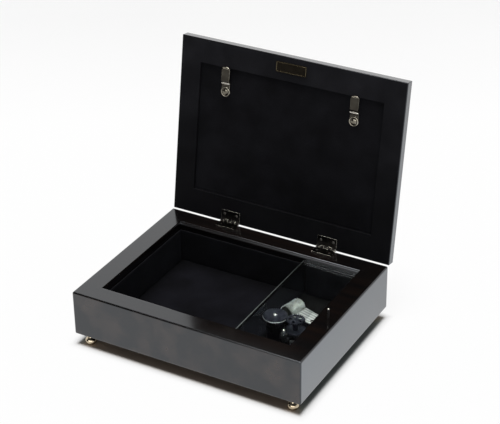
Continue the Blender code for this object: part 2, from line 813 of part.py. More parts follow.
def build_winding(home):
    """Winding arbor up through the barrel, its domed screw, and the flat key under the case."""
    key_top = -CASE_H - GAP
    hub_low = key_top - KEY_HUB_H
    arbor_low = key_top - 2.2 * MM
    arbor = rod("winding_arbor", ARBOR_R, arbor_low, WHEEL_TOP - 0.1 * MM, (0, 0), home, 20)
    dress(arbor, "tempered_steel")
    dome_r = 1.7 * MM
    dome_h = 1.1 * MM
    profile = [(dome_r * math.sin(a), dome_h * math.cos(a)) for a in (math.radians(15 * i) for i in range(7))]
    profile[0] = (0, dome_h)
    profile.append((0, 0))
    dress(turned("arbor_screw", profile, (0, 0, WHEEL_TOP + GAP), home, 20), "nickel")

    waist = 0.34 * KEY_W
    lobe_r = KEY_W / 2
    lobe = KEY_L / 2 - lobe_r
    outline = [(0, -waist)]
    outline += arc((lobe, 0), lobe_r, -115, 115, 14)
    outline.append((0, waist))
    outline += arc((-lobe, 0), lobe_r, 65, 295, 14)
    wing_z = hub_low + 0.5 * MM - waist
    key = plate("winding_key", [outline], KEY_T, (0, 0, wing_z), home, (math.radians(90), 0, 0))
    soften(key, 0.4 * MM)
    hub = rod("key_hub", KEY_HUB_R, hub_low, key_top, (0, 0), home)
    socket = rod("key_socket", ARBOR_R + GAP, arbor_low - GAP, key_top + MM, (0, 0), home, 20)
    dress(cut(join(key, hub), socket), "nickel")


def build_cylinder(home):
    """Pinned cylinder on its arbor. Its tune is a simple pattern: the pins climb and fall along the tracks."""
    track = CYL_L / NOTES
    bm = bmesh.new()
    width = 2 * math.pi * CYL_R
    bmesh.ops.create_grid(bm, x_segments=PIN_COLUMNS, y_segments=NOTES, size=0.5)
    bmesh.ops.scale(bm, vec=(width, CYL_L, 1), verts=bm.verts)
    cell = width / PIN_COLUMNS
    pinned = []
    for face in bm.faces:
        middle = face.calc_center_median()
        column = round((middle.x + width / 2) / cell - 0.5)
        note = round((middle.y + CYL_L / 2) / track - 0.5)
        if (5 * column + 7 * note + column * note) % 9 == 0:
            pinned.append(face)
    bmesh.ops.inset_individual(bm, faces=pinned, thickness=0.24 * MM, depth=0)
    grown = bmesh.ops.extrude_discrete_faces(bm, faces=pinned)
    for face in grown["faces"]:
        bmesh.ops.translate(bm, verts=face.verts, vec=(0, 0, PIN_H))
    for vert in bm.verts:
        angle = vert.co.x / CYL_R
        radius = CYL_R + vert.co.z
        vert.co = (radius * math.sin(angle), vert.co.y, radius * math.cos(angle))
    bmesh.ops.remove_doubles(bm, verts=bm.verts, dist=1e-6)
    bmesh.ops.holes_fill(bm, edges=[edge for edge in bm.edges if edge.is_boundary], sides=0)
    barrel = place("pin_cylinder", as_mesh("pin_cylinder", bm), (0, CYL_FRONT + CYL_L / 2, CYL_Z), home)
    reach = (CYL_FRONT - MM, CYL_FRONT + CYL_L + MM)
    dress(cut(barrel, lying_rod("cylinder_bore", CYL_ARBOR_R + GAP, *reach, CYL_Z, 0, home, 16)), "nickel")

    front = CROWN_R - PINION_W / 2
    back = CYL_FRONT + CYL_L + POST_T + 1.2 * MM
    arbor = lying_rod("cylinder_arbor", CYL_ARBOR_R, front, back, CYL_Z, 0, home, 16)
    module = 2 * PINION_R / PINION_TEETH
    pinion = plate(
        "cylinder_pinion",
        [pinion_outline(module)],
        PINION_W,
        (0, front + PINION_W / 2, CYL_Z),
        home,
        (math.radians(90), 0, 0),
    )
    collar = lying_rod("arbor_collar", 1.6 * MM, front + PINION_W / 2, CROWN_OUT_R + 0.7 * MM, CYL_Z, 0, home, 16)
    dress(join(arbor, pinion, collar), "brass")


def pinion_outline(module):
    """Pinion whose teeth stop GAP short of the crown ring's floor and whose roots clear its teeth."""
    step = 2 * math.pi / PINION_TEETH
    tip_r = PINION_R + CROWN_H / 2 - GAP
    root_r = PINION_R - CROWN_H / 2 - GAP
    points = []
    for tooth in range(PINION_TEETH):
        middle = math.pi / 2 + tooth * step
        for radius, share in ((root_r, -0.24), (tip_r, -0.13), (tip_r, 0.13), (root_r, 0.24)):
            angle = middle + share * step
            points.append((radius * math.cos(angle), radius * math.sin(angle)))
    return points


def build_comb(home):
    """Steel comb: eighteen teeth with the deepest slits at the bass end, held by two screws on its seat."""
    track = CYL_L / NOTES
    tip = CYL_R + PIN_H + 0.35 * MM
    outline = []
    for note in range(NOTES):
        middle = CYL_FRONT + (note + 0.5) * track
        half = (track - COMB_SLIT) / 2
        depth = COMB_BACK - 6.2 * MM - note * 0.22 * MM
        if note:
            outline.append((depth, middle - half))
        outline.append((tip, middle - half))
        outline.append((tip, middle + half))
        if note < NOTES - 1:
            outline.append((depth, middle + half))
    outline.append((COMB_BACK, CYL_FRONT + CYL_L - 1.5 * MM))
    outline.append((COMB_BACK, CYL_FRONT + 1.5 * MM))
    screw_x = COMB_BACK - 2.4 * MM
    holes = [circle(1.1 * MM, 12, (screw_x, CYL_FRONT + share * CYL_L)) for share in (0.3, 0.7)]
    comb = plate("comb", [outline, *holes], COMB_T, (0, 0, CYL_Z), home)
    dress(comb, "tempered_steel")


def build_idler(home):
    """Compound idler: the spoked upper wheel meets the great wheel and the lower wheel drives the governor."""
    upper_phase = meshing_phase(IDLER_WAY, WHEEL_TEETH, 0.0, IDLER_TEETH)
    holes = [circle(1.5 * MM, 14, point) for point in circle(4.1 * MM, 5)]
    bore = circle(STUD_R + 2 * GAP, 16)
    upper = plate(
        "idler_wheel",
        [gear_outline(IDLER_TEETH, PITCH_R[IDLER_TEETH], MODULE, upper_phase), bore, *holes],
        WHEEL_T,
        (*IDLER_AT.xy, WHEEL_TOP - WHEEL_T / 2),
        home,
    )
    lower_top = WHEEL_TOP - LOW_WHEEL_DROP
    lower = plate(
        "idler_lower_wheel",
        [gear_outline(LOW_WHEEL_TEETH, PITCH_R[LOW_WHEEL_TEETH], MODULE, GOVERNOR_WAY), bore],
        WHEEL_T,
        (*IDLER_AT.xy, lower_top - WHEEL_T / 2),
        home,
    )
    hub_r = STUD_R + 1.1 * MM
    sleeve = [
        (STUD_R + GAP, WHEEL_TOP - 0.3 * MM),
        (hub_r, WHEEL_TOP - 0.3 * MM),
        (hub_r, lower_top - 0.9 * MM),
        (STUD_R + GAP, lower_top - 0.9 * MM),
    ]
    join(upper, turned("idler_sleeve", sleeve, (*IDLER_AT.xy, 0), home, 16, ring=True), lower)
    dress(upper, "dark_polish")

    head = WHEEL_TOP + GAP
    profile = [
        (0, head + 0.9 * MM),
        (0.9 * MM, head + 0.7 * MM),
        (1.5 * MM, head),
        (STUD_R, head),
        (STUD_R, BED_TOP + GAP),
        (0, BED_TOP + GAP),
    ]
    dress(turned("idler_stud", profile, (*IDLER_AT.xy, 0), home, 16), "nickel")


def build_governor(home):
    """Governor: pinion spindle with its two-bladed fan, under the eye of a bracket with a domed bearing screw."""
    lower_top = WHEEL_TOP - LOW_WHEEL_DROP
    wheel_low = lower_top - WHEEL_T
    at = GOVERNOR_AT.xy
    phase = meshing_phase(GOVERNOR_WAY, LOW_WHEEL_TEETH, GOVERNOR_WAY, GOVERNOR_TEETH)
    eye_low = lower_top + 1.7 * MM
    spindle_low = BED_TOP + GAP
    pivot_r = 0.5 * MM
    profile = [
        (0, eye_low + 0.7 * MM),
        (pivot_r, eye_low + 0.7 * MM),
        (pivot_r, eye_low - GAP),
        (SPINDLE_R, eye_low - GAP),
        (SPINDLE_R, spindle_low),
        (0, spindle_low),
    ]
    spindle = turned("governor_spindle", profile, (*at, 0), home, 16)
    pinion = plate(
        "governor_pinion",
        [gear_outline(GOVERNOR_TEETH, PITCH_R[GOVERNOR_TEETH], MODULE, phase)],
        WHEEL_T + 2 * GAP,
        (*at, lower_top - WHEEL_T / 2),
        home,
    )
    dress(join(spindle, pinion), "tempered_steel")

    fan_top = wheel_low - 1.2 * MM
    hub = [
        (SPINDLE_R + GAP, fan_top),
        (SPINDLE_R + 1.0 * MM, fan_top),
        (SPINDLE_R + 1.0 * MM, fan_top - FAN_H),
        (SPINDLE_R + GAP, fan_top - FAN_H),
    ]
    fan = turned("governor_fan", hub, (*at, 0), home, 16, ring=True)
    for side in (-1, 1):
        inner = SPINDLE_R + 0.6 * MM
        blade = box(
            f"fan_blade_{side}",
            (FAN_R - inner, 0.6 * MM, FAN_H - 0.6 * MM),
            (at.x + side * (FAN_R + inner) / 2, at.y, fan_top - FAN_H / 2),
            home,
        )
        join(fan, blade)
    dress(fan, "black_fan")

    way = math.radians(-50)
    post_at = at + Vector((math.cos(way), math.sin(way))) * (FAN_R + 1.6 * MM)
    eye_r = 1.9 * MM
    reach = (post_at - at).length
    arm = [(eye_r * math.cos(a), eye_r * math.sin(a)) for a in (math.radians(40 + 28 * i) for i in range(11))]
    arm += [(reach + 0.9 * MM, -0.9 * MM), (reach + 0.9 * MM, 0.9 * MM)]
    bracket = plate(
        "governor_bracket",
        [arm, circle(pivot_r + GAP, 12)],
        MM,
        (*at, eye_low + 0.5 * MM),
        home,
        (0, 0, way),
    )
    post_low = BED_TOP + GAP
    post = box(
        "bracket_post",
        (1.8 * MM, 1.8 * MM, eye_low + 0.5 * MM - post_low),
        (*post_at, (eye_low + 0.5 * MM + post_low) / 2),
        home,
        (0, 0, way),
    )
    dress(join(bracket, post), "nickel")
    cap_low = eye_low + MM + GAP
    cap_r = 1.5 * MM
    cap = [(cap_r * math.sin(a), cap_low + cap_r * 0.7 * math.cos(a)) for a in map(math.radians, range(15, 91, 15))]
    cap = [(0, cap_low + 0.7 * cap_r), *cap, (0, cap_low)]
    dress(turned("governor_bearing_cap", cap, (*at, 0), home, 16), "nickel")


def build_stop():
    """Stop pin in the right rail and the lever that its foot presses, pivoted beside the bed plate."""
    foot = FLOOR + STOP_FOOT_LIFT
    foot_t = MM
    profile = [
        (0, RIM + STOP_RISE),
        (0.5 * STOP_R, RIM + STOP_RISE - 0.1 * STOP_R),
        (0.9 * STOP_R, RIM + STOP_RISE - 0.5 * STOP_R),
        (STOP_R, RIM + STOP_RISE - STOP_R),
        (STOP_R, foot + foot_t),
        (STOP_FOOT_R, foot + foot_t),
        (STOP_FOOT_R, foot),
        (0, foot),
    ]
    dress(turned("stop_pin", profile, (STOP_X, STOP_Y, 0), None, 16), "nickel")

    lever_z = foot - GAP - LEVER_T / 2
    pivot = (*lever_pivot_in_case(), lever_z)
    half = LEVER_W / 2
    outline = arc((LEVER_ARM, 0), half, -90, 90, 8)
    outline += [(-3 * MM, half), (-LEVER_TAIL, 0.5 * half), (-LEVER_TAIL, -0.5 * half), (-3 * MM, -half)]
    lever = plate("stop_lever", [outline], LEVER_T, pivot, None, (0, 0, LEVER_WAY))
    ear_r = 1.5 * MM
    sleeve_end = half - 0.1 * MM
    sleeve = [
        (ear_r, sleeve_end),
        (ear_r, -sleeve_end),
        (0.6 * MM + GAP, -sleeve_end),
        (0.6 * MM + GAP, sleeve_end),
    ]
    ear_drop = ear_r + LEVER_T / 2 - 0.2 * MM
    barrel = turned("lever_sleeve", sleeve, (0, 0, -ear_drop), lever, 16, ring=True, turn=(math.pi / 2, 0, 0))
    finger = box(
        "lever_finger",
        (0.7 * MM, 0.8 * half, FINGER_H),
        (0.5 * MM - LEVER_TAIL, 0, -FINGER_H / 2),
        lever,
    )
    dress(join(lever, barrel, finger), "tempered_steel")

    bed_top = RIM + BED_TOP
    pin_z = lever_z - ear_drop
    yoke_t = 1.2 * MM
    yoke_y = half + GAP + yoke_t / 2
    yoke = box("lever_yoke", (3.0 * MM, 2 * half + 2 * GAP + 2 * yoke_t, 0.8 * MM), (0, 0, 0))
    yoke.location = (pivot[0], pivot[1], bed_top + GAP + 0.4 * MM)
    yoke.rotation_euler = (0, 0, LEVER_WAY)
    cheek_low = 0.2 * MM
    cheek_high = pin_z - yoke.location.z + 1.2 * MM
    for side in (-1, 1):
        cheek = box(
            f"yoke_cheek_{side}",
            (3.0 * MM, yoke_t, cheek_high - cheek_low),
            (0, side * yoke_y, (cheek_high + cheek_low) / 2),
            yoke,
        )
        join(yoke, cheek)
    axle = lying_rod("lever_axle", 0.6 * MM, -yoke_y, yoke_y, pin_z - yoke.location.z, 0, yoke, 12)
    dress(join(yoke, axle), "nickel")


def build():
    clear_scene()
    case_hinges = frame_at("case_hinge_axis", (0, HINGE_Y, HINGE_Z))
    lid_pivot = frame_at("lid_pivot", (0, HINGE_Y, HINGE_Z), (-LID_OPEN, 0, 0))
    movement = frame_at("movement_frame", (BARREL_X, BARREL_Y, RIM), (0, 0, MOVEMENT_TURN))
    build_case()
    build_linings()
    build_hinges(case_hinges, lid_pivot)
    build_lid(lid_pivot)
    build_bed(movement)
    build_barrel(movement)
    build_winding(movement)
    build_cylinder(movement)
    build_comb(movement)
    build_idler(movement)
    build_governor(movement)
    build_stop()
    bpy.context.view_layer.update()


build()
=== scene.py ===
"""Looks of a musical jewelry box: lacquer, velvet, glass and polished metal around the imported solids."""

import json  # noqa: E402
import logging  # noqa: E402
import math  # noqa: E402
from dataclasses import dataclass, field  # noqa: E402
from enum import Enum  # noqa: E402

import bmesh  # noqa: E402
import bpy  # noqa: E402
import numpy as np  # noqa: E402
from mathutils import Euler, Matrix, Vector  # noqa: E402

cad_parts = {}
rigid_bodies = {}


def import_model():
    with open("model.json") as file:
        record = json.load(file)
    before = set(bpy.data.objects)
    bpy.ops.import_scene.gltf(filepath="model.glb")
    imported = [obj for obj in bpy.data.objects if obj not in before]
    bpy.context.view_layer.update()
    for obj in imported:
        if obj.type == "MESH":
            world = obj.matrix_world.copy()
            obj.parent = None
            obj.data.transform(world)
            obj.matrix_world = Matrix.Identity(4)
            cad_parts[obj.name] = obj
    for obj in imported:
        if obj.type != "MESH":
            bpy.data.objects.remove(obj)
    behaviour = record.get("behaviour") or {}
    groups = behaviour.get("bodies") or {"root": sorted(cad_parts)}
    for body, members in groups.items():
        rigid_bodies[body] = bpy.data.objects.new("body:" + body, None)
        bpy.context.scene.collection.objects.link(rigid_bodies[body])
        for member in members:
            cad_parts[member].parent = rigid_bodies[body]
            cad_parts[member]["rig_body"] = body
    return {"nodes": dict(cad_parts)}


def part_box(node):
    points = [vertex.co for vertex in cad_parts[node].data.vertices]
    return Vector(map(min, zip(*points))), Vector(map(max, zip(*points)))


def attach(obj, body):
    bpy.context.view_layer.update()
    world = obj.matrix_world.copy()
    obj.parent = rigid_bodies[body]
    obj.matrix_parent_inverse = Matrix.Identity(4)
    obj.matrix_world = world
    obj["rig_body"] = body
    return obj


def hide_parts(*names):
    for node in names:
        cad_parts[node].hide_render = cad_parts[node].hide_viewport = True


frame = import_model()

log = logging.getLogger("jewelry_box")
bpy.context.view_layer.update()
MM = 0.001
TAU = 2 * math.pi
DOUBLED = 1e-6
FLAT = math.radians(0.5)
CREASE = math.radians(40)

# The closed case, and how far the hinge pins lie behind it and above it
WIDTH = 190.0 * MM
DEPTH = 142.5 * MM
HEIGHT = 36.5 * MM
HINGE_BACK = 0.4 * MM
HINGE_RISE = 1.0 * MM

# Two slow waves of a padded surface, in radians per metre along x, y and z
RIPPLE_ACROSS = np.array([410.0, 0.0, 530.0])
RIPPLE_ALONG = np.array([-160.0, 350.0, 0.0])
RIPPLE_SHIFT = 1.3

Colour = tuple[float, float, float]
Point = tuple[float, float, float]
Node = bpy.types.Node
Socket = bpy.types.NodeSocket


@dataclass(frozen=True)
class Place:
    """Where a sub-assembly's own frame lies in the row frame: a turn about one axis, then a shift."""

    origin: Point = (0.0, 0.0, 0.0)
    axis: int = 2
    angle: float = 0.0

    def turn(self, points: np.ndarray) -> np.ndarray:
        """Turn points by the right-hand rule: the two coordinates off the axis mix by cosine and sine.

        Args:
            points: Points in the sub-assembly's frame, with x, y and z last.

        Returns:
            The turned points.
        """
        first, second = (self.axis + 1) % 3, (self.axis + 2) % 3
        made = np.array(points, float)
        cos, sin = math.cos(self.angle), math.sin(self.angle)
        made[..., first] = cos * points[..., first] - sin * points[..., second]
        made[..., second] = sin * points[..., first] + cos * points[..., second]
        return made

    def carry(self, points: np.ndarray) -> np.ndarray:
        """Take points from the sub-assembly's frame into the row frame."""
        return self.turn(points) + np.array(self.origin)


ROW = Place()
LID = Place((0.0, DEPTH / 2 + HINGE_BACK, HEIGHT + HINGE_RISE), 0, math.radians(-99.0))
MOVEMENT = Place((44.1 * MM, -13.5 * MM, HEIGHT), 2, math.radians(-14.0))


@dataclass(frozen=True)
class Span:
    """A stretch from low to high over which a value goes from start to end."""

    low: float
    high: float
    start: float
    end: float


# Shapes


def weld(mesh: bpy.types.Mesh, close: bool = True) -> None:
    """Merge doubled vertices, close open ends and point every face outwards.

    Args:
        mesh: The mesh to finish.
        close: Whether open ends are filled.
    """
    bm = bmesh.new()
    bm.from_mesh(mesh)
    bmesh.ops.remove_doubles(bm, verts=bm.verts, dist=DOUBLED)
    if close:
        bmesh.ops.holes_fill(bm, edges=[edge for edge in bm.edges if edge.is_boundary], sides=0)
    bmesh.ops.recalc_face_normals(bm, faces=bm.faces)
    bm.to_mesh(mesh)
    bm.free()


def show(name: str, mesh: bpy.types.Mesh, sharp: float = 35.0) -> bpy.types.Object:
    """Link a mesh as an object at the origin, shaded smooth up to an angle.

    Args:
        name: The object's name.
        mesh: Its mesh.
        sharp: The angle in degrees past which an edge stays sharp.

    Returns:
        The new object.
    """
    obj = bpy.data.objects.new(name, mesh)
    bpy.context.scene.collection.objects.link(obj)
    mesh.shade_smooth()
    mesh.set_sharp_from_angle(angle=math.radians(sharp))
    return obj


def skin(
    name: str,
    grids: list[np.ndarray],
    wrap: tuple[bool, bool] = (False, False),
    place: Place = ROW,
    zones: np.ndarray | None = None,
    sharp: float = 35.0,
) -> bpy.types.Object:
    """Cover grids of points with quads and weld them into one closed surface.

    Vertex (i, j) of a grid is joined to (i + 1, j), (i + 1, j + 1) and (i, j + 1). Where the grid wraps, its
    last row or column is joined to the first.

    Args:
        name: The object's name.
        grids: Arrays of shape rows x columns x 3.
        wrap: Whether the rows and the columns wrap round.
        place: The frame that the points are in.
        zones: A material number for each row of quads of the first grid.
        sharp: The angle in degrees past which an edge stays sharp.

    Returns:
        The new object.
    """
    points, faces, kinds, start = [], [], [], 0
    for grid in grids:
        index = start + np.arange(grid.shape[0] * grid.shape[1]).reshape(grid.shape[:2])
        below = np.roll(index, -1, 0) if wrap[0] else index[1:]
        here = index if wrap[0] else index[:-1]
        if wrap[1]:
            quads = np.stack([here, below, np.roll(below, -1, 1), np.roll(here, -1, 1)], -1)
        else:
            quads = np.stack([here[:, :-1], below[:, :-1], below[:, 1:], here[:, 1:]], -1)
        row_zone = np.zeros(quads.shape[0], int) if zones is None else zones
        kinds.append(np.repeat(row_zone, quads.shape[1]))
        faces.append(quads.reshape(-1, 4))
        points.append(grid.reshape(-1, 3))
        start += grid.shape[0] * grid.shape[1]
    mesh = bpy.data.meshes.new(name)
    mesh.from_pydata(place.carry(np.concatenate(points)).tolist(), [], np.concatenate(faces).tolist())
    mesh.polygons.foreach_set("material_index", np.concatenate(kinds).astype(np.int32))
    weld(mesh)
    return show(name, mesh, sharp)


def arc(centre: tuple[float, float], radius: float, start: float, end: float, steps: int = 6) -> np.ndarray:
    """Points at centre + radius (cos a, sin a), with a from start to end in degrees."""
    angle = np.radians(np.linspace(start, end, steps))
    return np.stack([centre[0] + radius * np.cos(angle), centre[1] + radius * np.sin(angle)], -1)


def oval(middle: Point, across: float, along: float, count: int) -> np.ndarray:
    """Points at middle + (across cos a, along sin a, 0), with a once round."""
    angle = np.linspace(0, TAU, count, endpoint=False)
    return np.stack([across * np.cos(angle), along * np.sin(angle), 0 * angle], -1) + np.array(middle)


def rounded_off(profile: np.ndarray, times: int = 2) -> np.ndarray:
    """Cut each inner corner at a quarter and three quarters of its edges, which tends to a smooth curve.

    Args:
        profile: The open outline, one point a row.
        times: How often its corners are cut.

    Returns:
        The smoother outline, with the same two ends.
    """
    for _ in range(times):
        near = 0.75 * profile[:-1] + 0.25 * profile[1:]
        far = 0.25 * profile[:-1] + 0.75 * profile[1:]
        cut = np.stack([near, far], 1).reshape(-1, profile.shape[1])
        profile = np.concatenate([profile[:1], cut, profile[-1:]])
    return profile


def turned(
    name: str,
    profile: np.ndarray,
    at: Point,
    place: Place = ROW,
    sides: int = 48,
    axis: int = 2,
    sharp: float = 30.0,
) -> bpy.types.Object:
    """A turned piece: the point (r, h) of the profile goes round to (r cos a, r sin a, h) about the axis.

    Args:
        name: The object's name.
        profile: Radius and height, one point a row.
        at: Where the profile's height 0 lies on the axis.
        place: The frame that the axis is in.
        sides: How many points go round.
        axis: The axis it is turned about: 0 for x, 1 for y, 2 for z.
        sharp: The angle in degrees past which an edge stays sharp.

    Returns:
        The new object.
    """
    angle = np.linspace(0, TAU, sides, endpoint=False)
    radius, height = profile[:, :1], profile[:, 1:2]
    parts = [radius * np.cos(angle), radius * np.sin(angle), height + 0 * angle]
    grid = np.stack([parts[(i - axis - 1) % 3] for i in range(3)], -1) + np.array(at)
    return skin(name, [grid], (False, True), place, sharp=sharp)


def supported(outline: np.ndarray, gap: float = 0.08 * MM) -> np.ndarray:
    """Add two points to each long side of a closed outline, a gap from its ends, so that it shades flat.

    Args:
        outline: The outline, one point a row, with three coordinates first.
        gap: How far from the ends the added points lie.

    Returns:
        The outline with its added points. Each has the last columns of the point before it.
    """
    after = np.roll(outline, -1, 0)
    way = (after - outline)[:, :3]
    length = np.linalg.norm(way, axis=1, keepdims=True)
    step = np.where(length > 0, gap / np.maximum(length, 1e-9), 0) * way
    rest = outline[:, 3:]
    near = np.concatenate([outline[:, :3] + step, rest], 1)
    far = np.concatenate([after[:, :3] - step, rest], 1)
    long_side = length[:, 0] > 4 * gap
    kept = np.stack([np.ones_like(long_side), long_side, long_side], 1)
    return np.stack([outline, near, far], 1)[kept]


def framed(
    name: str,
    half: tuple[float, float],
    middle: tuple[float, float],
    profile: np.ndarray,
    corner: float,
    place: Place = ROW,
    gap: float = 0.15 * MM,
    reach: float = 0.0,
) -> bpy.types.Object:
    """A moulding carried round a rectangle.

    A profile point (inset across, inset along, height) draws a rectangle smaller by its insets. Its corners
    have the outer corner's radius less the inset, and never less than nothing, so the inner corners come out
    as mitres. Each corner's arc has one more point a gap into either straight side, at arc end +- gap x
    tangent.

    Args:
        name: The object's name.
        half: Half the width and half the depth of the outer rectangle.
        middle: The rectangle's centre.
        profile: The moulding's closed outline, one point a row, with its side's material number last.
        corner: The outer corner's radius.
        place: The frame that the rectangle lies in.
        gap: How far past the arc the extra points lie.
        reach: How far the outer edge of the side at the highest second coordinate is drawn out.

    Returns:
        The new object.
    """
    profile = supported(profile)
    steps = np.radians([0, 0, 18, 36, 54, 72, 90, 90])
    shift = np.tile([-gap, 0, 0, 0, 0, 0, 0, gap], 4)
    angle = (np.radians([0, 90, 180, 270])[:, None] + steps).ravel()
    side_x = np.repeat([1, -1, -1, 1], steps.size)
    side_y = np.repeat([1, 1, -1, -1], steps.size)
    across, along, height = profile[:, 0:1], profile[:, 1:2], profile[:, 2:3]
    radius = np.maximum(corner - np.maximum(across, along), 0)
    x = middle[0] + side_x * (half[0] - across - radius) + radius * np.cos(angle) - shift * np.sin(angle)
    y = middle[1] + side_y * (half[1] - along - radius) + radius * np.sin(angle) + shift * np.cos(angle)
    y = y + reach * ((side_y > 0) & (along <= corner))
    zones = profile[:, 3].astype(int)
    return skin(name, [np.stack([x, y, height + 0 * angle], -1)], (True, True), place, zones)


def block(
    name: str,
    low: np.ndarray,
    high: np.ndarray,
    edge: float,
    place: Place = ROW,
    pitch: float = 0.0,
    swell: float = 0.0,
    sharp: float = 35.0,
) -> bpy.types.Object:
    """A block with rounded edges, and a soft uneven surface where it has a swell.

    A point q on the plain block goes to core + edge x (q - core) / |q - core|, where core is q held inside
    the block less its edge radius. It is then moved that way by swell x the product of two slow sine waves.

    Args:
        name: The object's name.
        low: The lowest corner.
        high: The highest corner.
        edge: The radius of the edges.
        place: The frame that the corners are in.
        pitch: The spacing of the points on the faces, or 0 for corners only.
        swell: How far the surface rises and falls.
        sharp: The angle in degrees past which an edge stays sharp.

    Returns:
        The new object.
    """
    low, high = np.array(low, float), np.array(high, float)
    rim = edge * np.tan(np.radians([45, 30, 15, 0]))
    lines = []
    for a, b in zip(low, high):
        count = 2 if not pitch else max(2, int((b - a) / pitch))
        inner = np.linspace(a + edge, b - edge, count)[1:-1]
        lines.append(np.concatenate([a + edge - rim, inner, b - edge + rim[::-1]]))
    grids = []
    for axis in range(3):
        first, second = (axis + 1) % 3, (axis + 2) % 3
        for level in (low[axis], high[axis]):
            u, v = np.meshgrid(lines[first], lines[second], indexing="ij")
            grid = np.empty((*u.shape, 3))
            grid[..., first], grid[..., second], grid[..., axis] = u, v, level
            grids.append(grid)
    made = []
    for grid in grids:
        core = np.clip(grid, low + edge, high - edge)
        out = grid - core
        out = out / np.linalg.norm(out, axis=-1, keepdims=True)
        wave = np.sin(grid @ RIPPLE_ACROSS) * np.sin(grid @ RIPPLE_ALONG + RIPPLE_SHIFT)
        made.append(core + out * (edge + swell * wave)[..., None])
    return skin(name, made, place=place, sharp=sharp)


def bead(name: str, path: np.ndarray, radius: float, up: Point, place: Place = ROW) -> bpy.types.Object:
    """A round wire along a closed flat path: path + radius (cos a x side + sin a x up), side = tangent x up.

    Args:
        name: The object's name.
        path: The wire's middle line, one point a row.
        radius: The wire's radius.
        up: The direction square to the path's plane.
        place: The frame that the path is in.

    Returns:
        The new object.
    """
    tangent = np.roll(path, -1, 0) - np.roll(path, 1, 0)
    side = np.cross(tangent, np.array(up))
    side /= np.linalg.norm(side, axis=1, keepdims=True)
    angle = np.linspace(0, TAU, 10, endpoint=False)[None, :, None]
    grid = path[:, None] + radius * (np.cos(angle) * side[:, None] + np.sin(angle) * np.array(up))
    return skin(name, [grid], (True, True), place, sharp=60)


def screw_head(
    name: str,
    at: Point,
    radius: float,
    rise: float,
    way: float,
    place: Place = ROW,
    down: bool = False,
) -> bpy.types.Object:
    """A slotted screw head: a lens of height rise (1 - (x^2 + y^2) / radius^2), with a slot along its middle.

    The points are x = u radius and y = v sqrt(radius^2 - x^2). The lines u at the slot's walls are doubled,
    one at the top and one at the bottom, so that the walls stand upright.

    Args:
        name: The object's name.
        at: The centre of the head's flat side.
        radius: The head's radius.
        rise: The height at its centre.
        way: The slot's direction in radians.
        place: The frame that the head is in.
        down: Whether the head faces down.

    Returns:
        The new object.
    """
    wall, thin = 0.14, 0.001
    right = np.array([wall - thin, wall + thin, 0.35, 0.6, 0.8, 0.93, 1.0])
    u = np.concatenate([-right[::-1], right])[:, None]
    v = np.sin(np.linspace(-math.pi / 2, math.pi / 2, 17))[None, :]
    x = u + 0 * v
    y = v * np.sqrt(np.maximum(1 - x**2, 0))
    dome = np.maximum(1 - x**2 - y**2, 0)
    top = np.where(np.abs(x) < wall, np.minimum(dome, 0.35 * dome), dome)
    grids = []
    for height in (top * rise, 0 * top):
        turned_x = radius * (x * math.cos(way) - y * math.sin(way))
        turned_y = radius * (x * math.sin(way) + y * math.cos(way))
        grids.append(np.stack([turned_x, turned_y, -height if down else height], -1) + np.array(at))
    return skin(name, grids, place=place, sharp=25)


# Materials


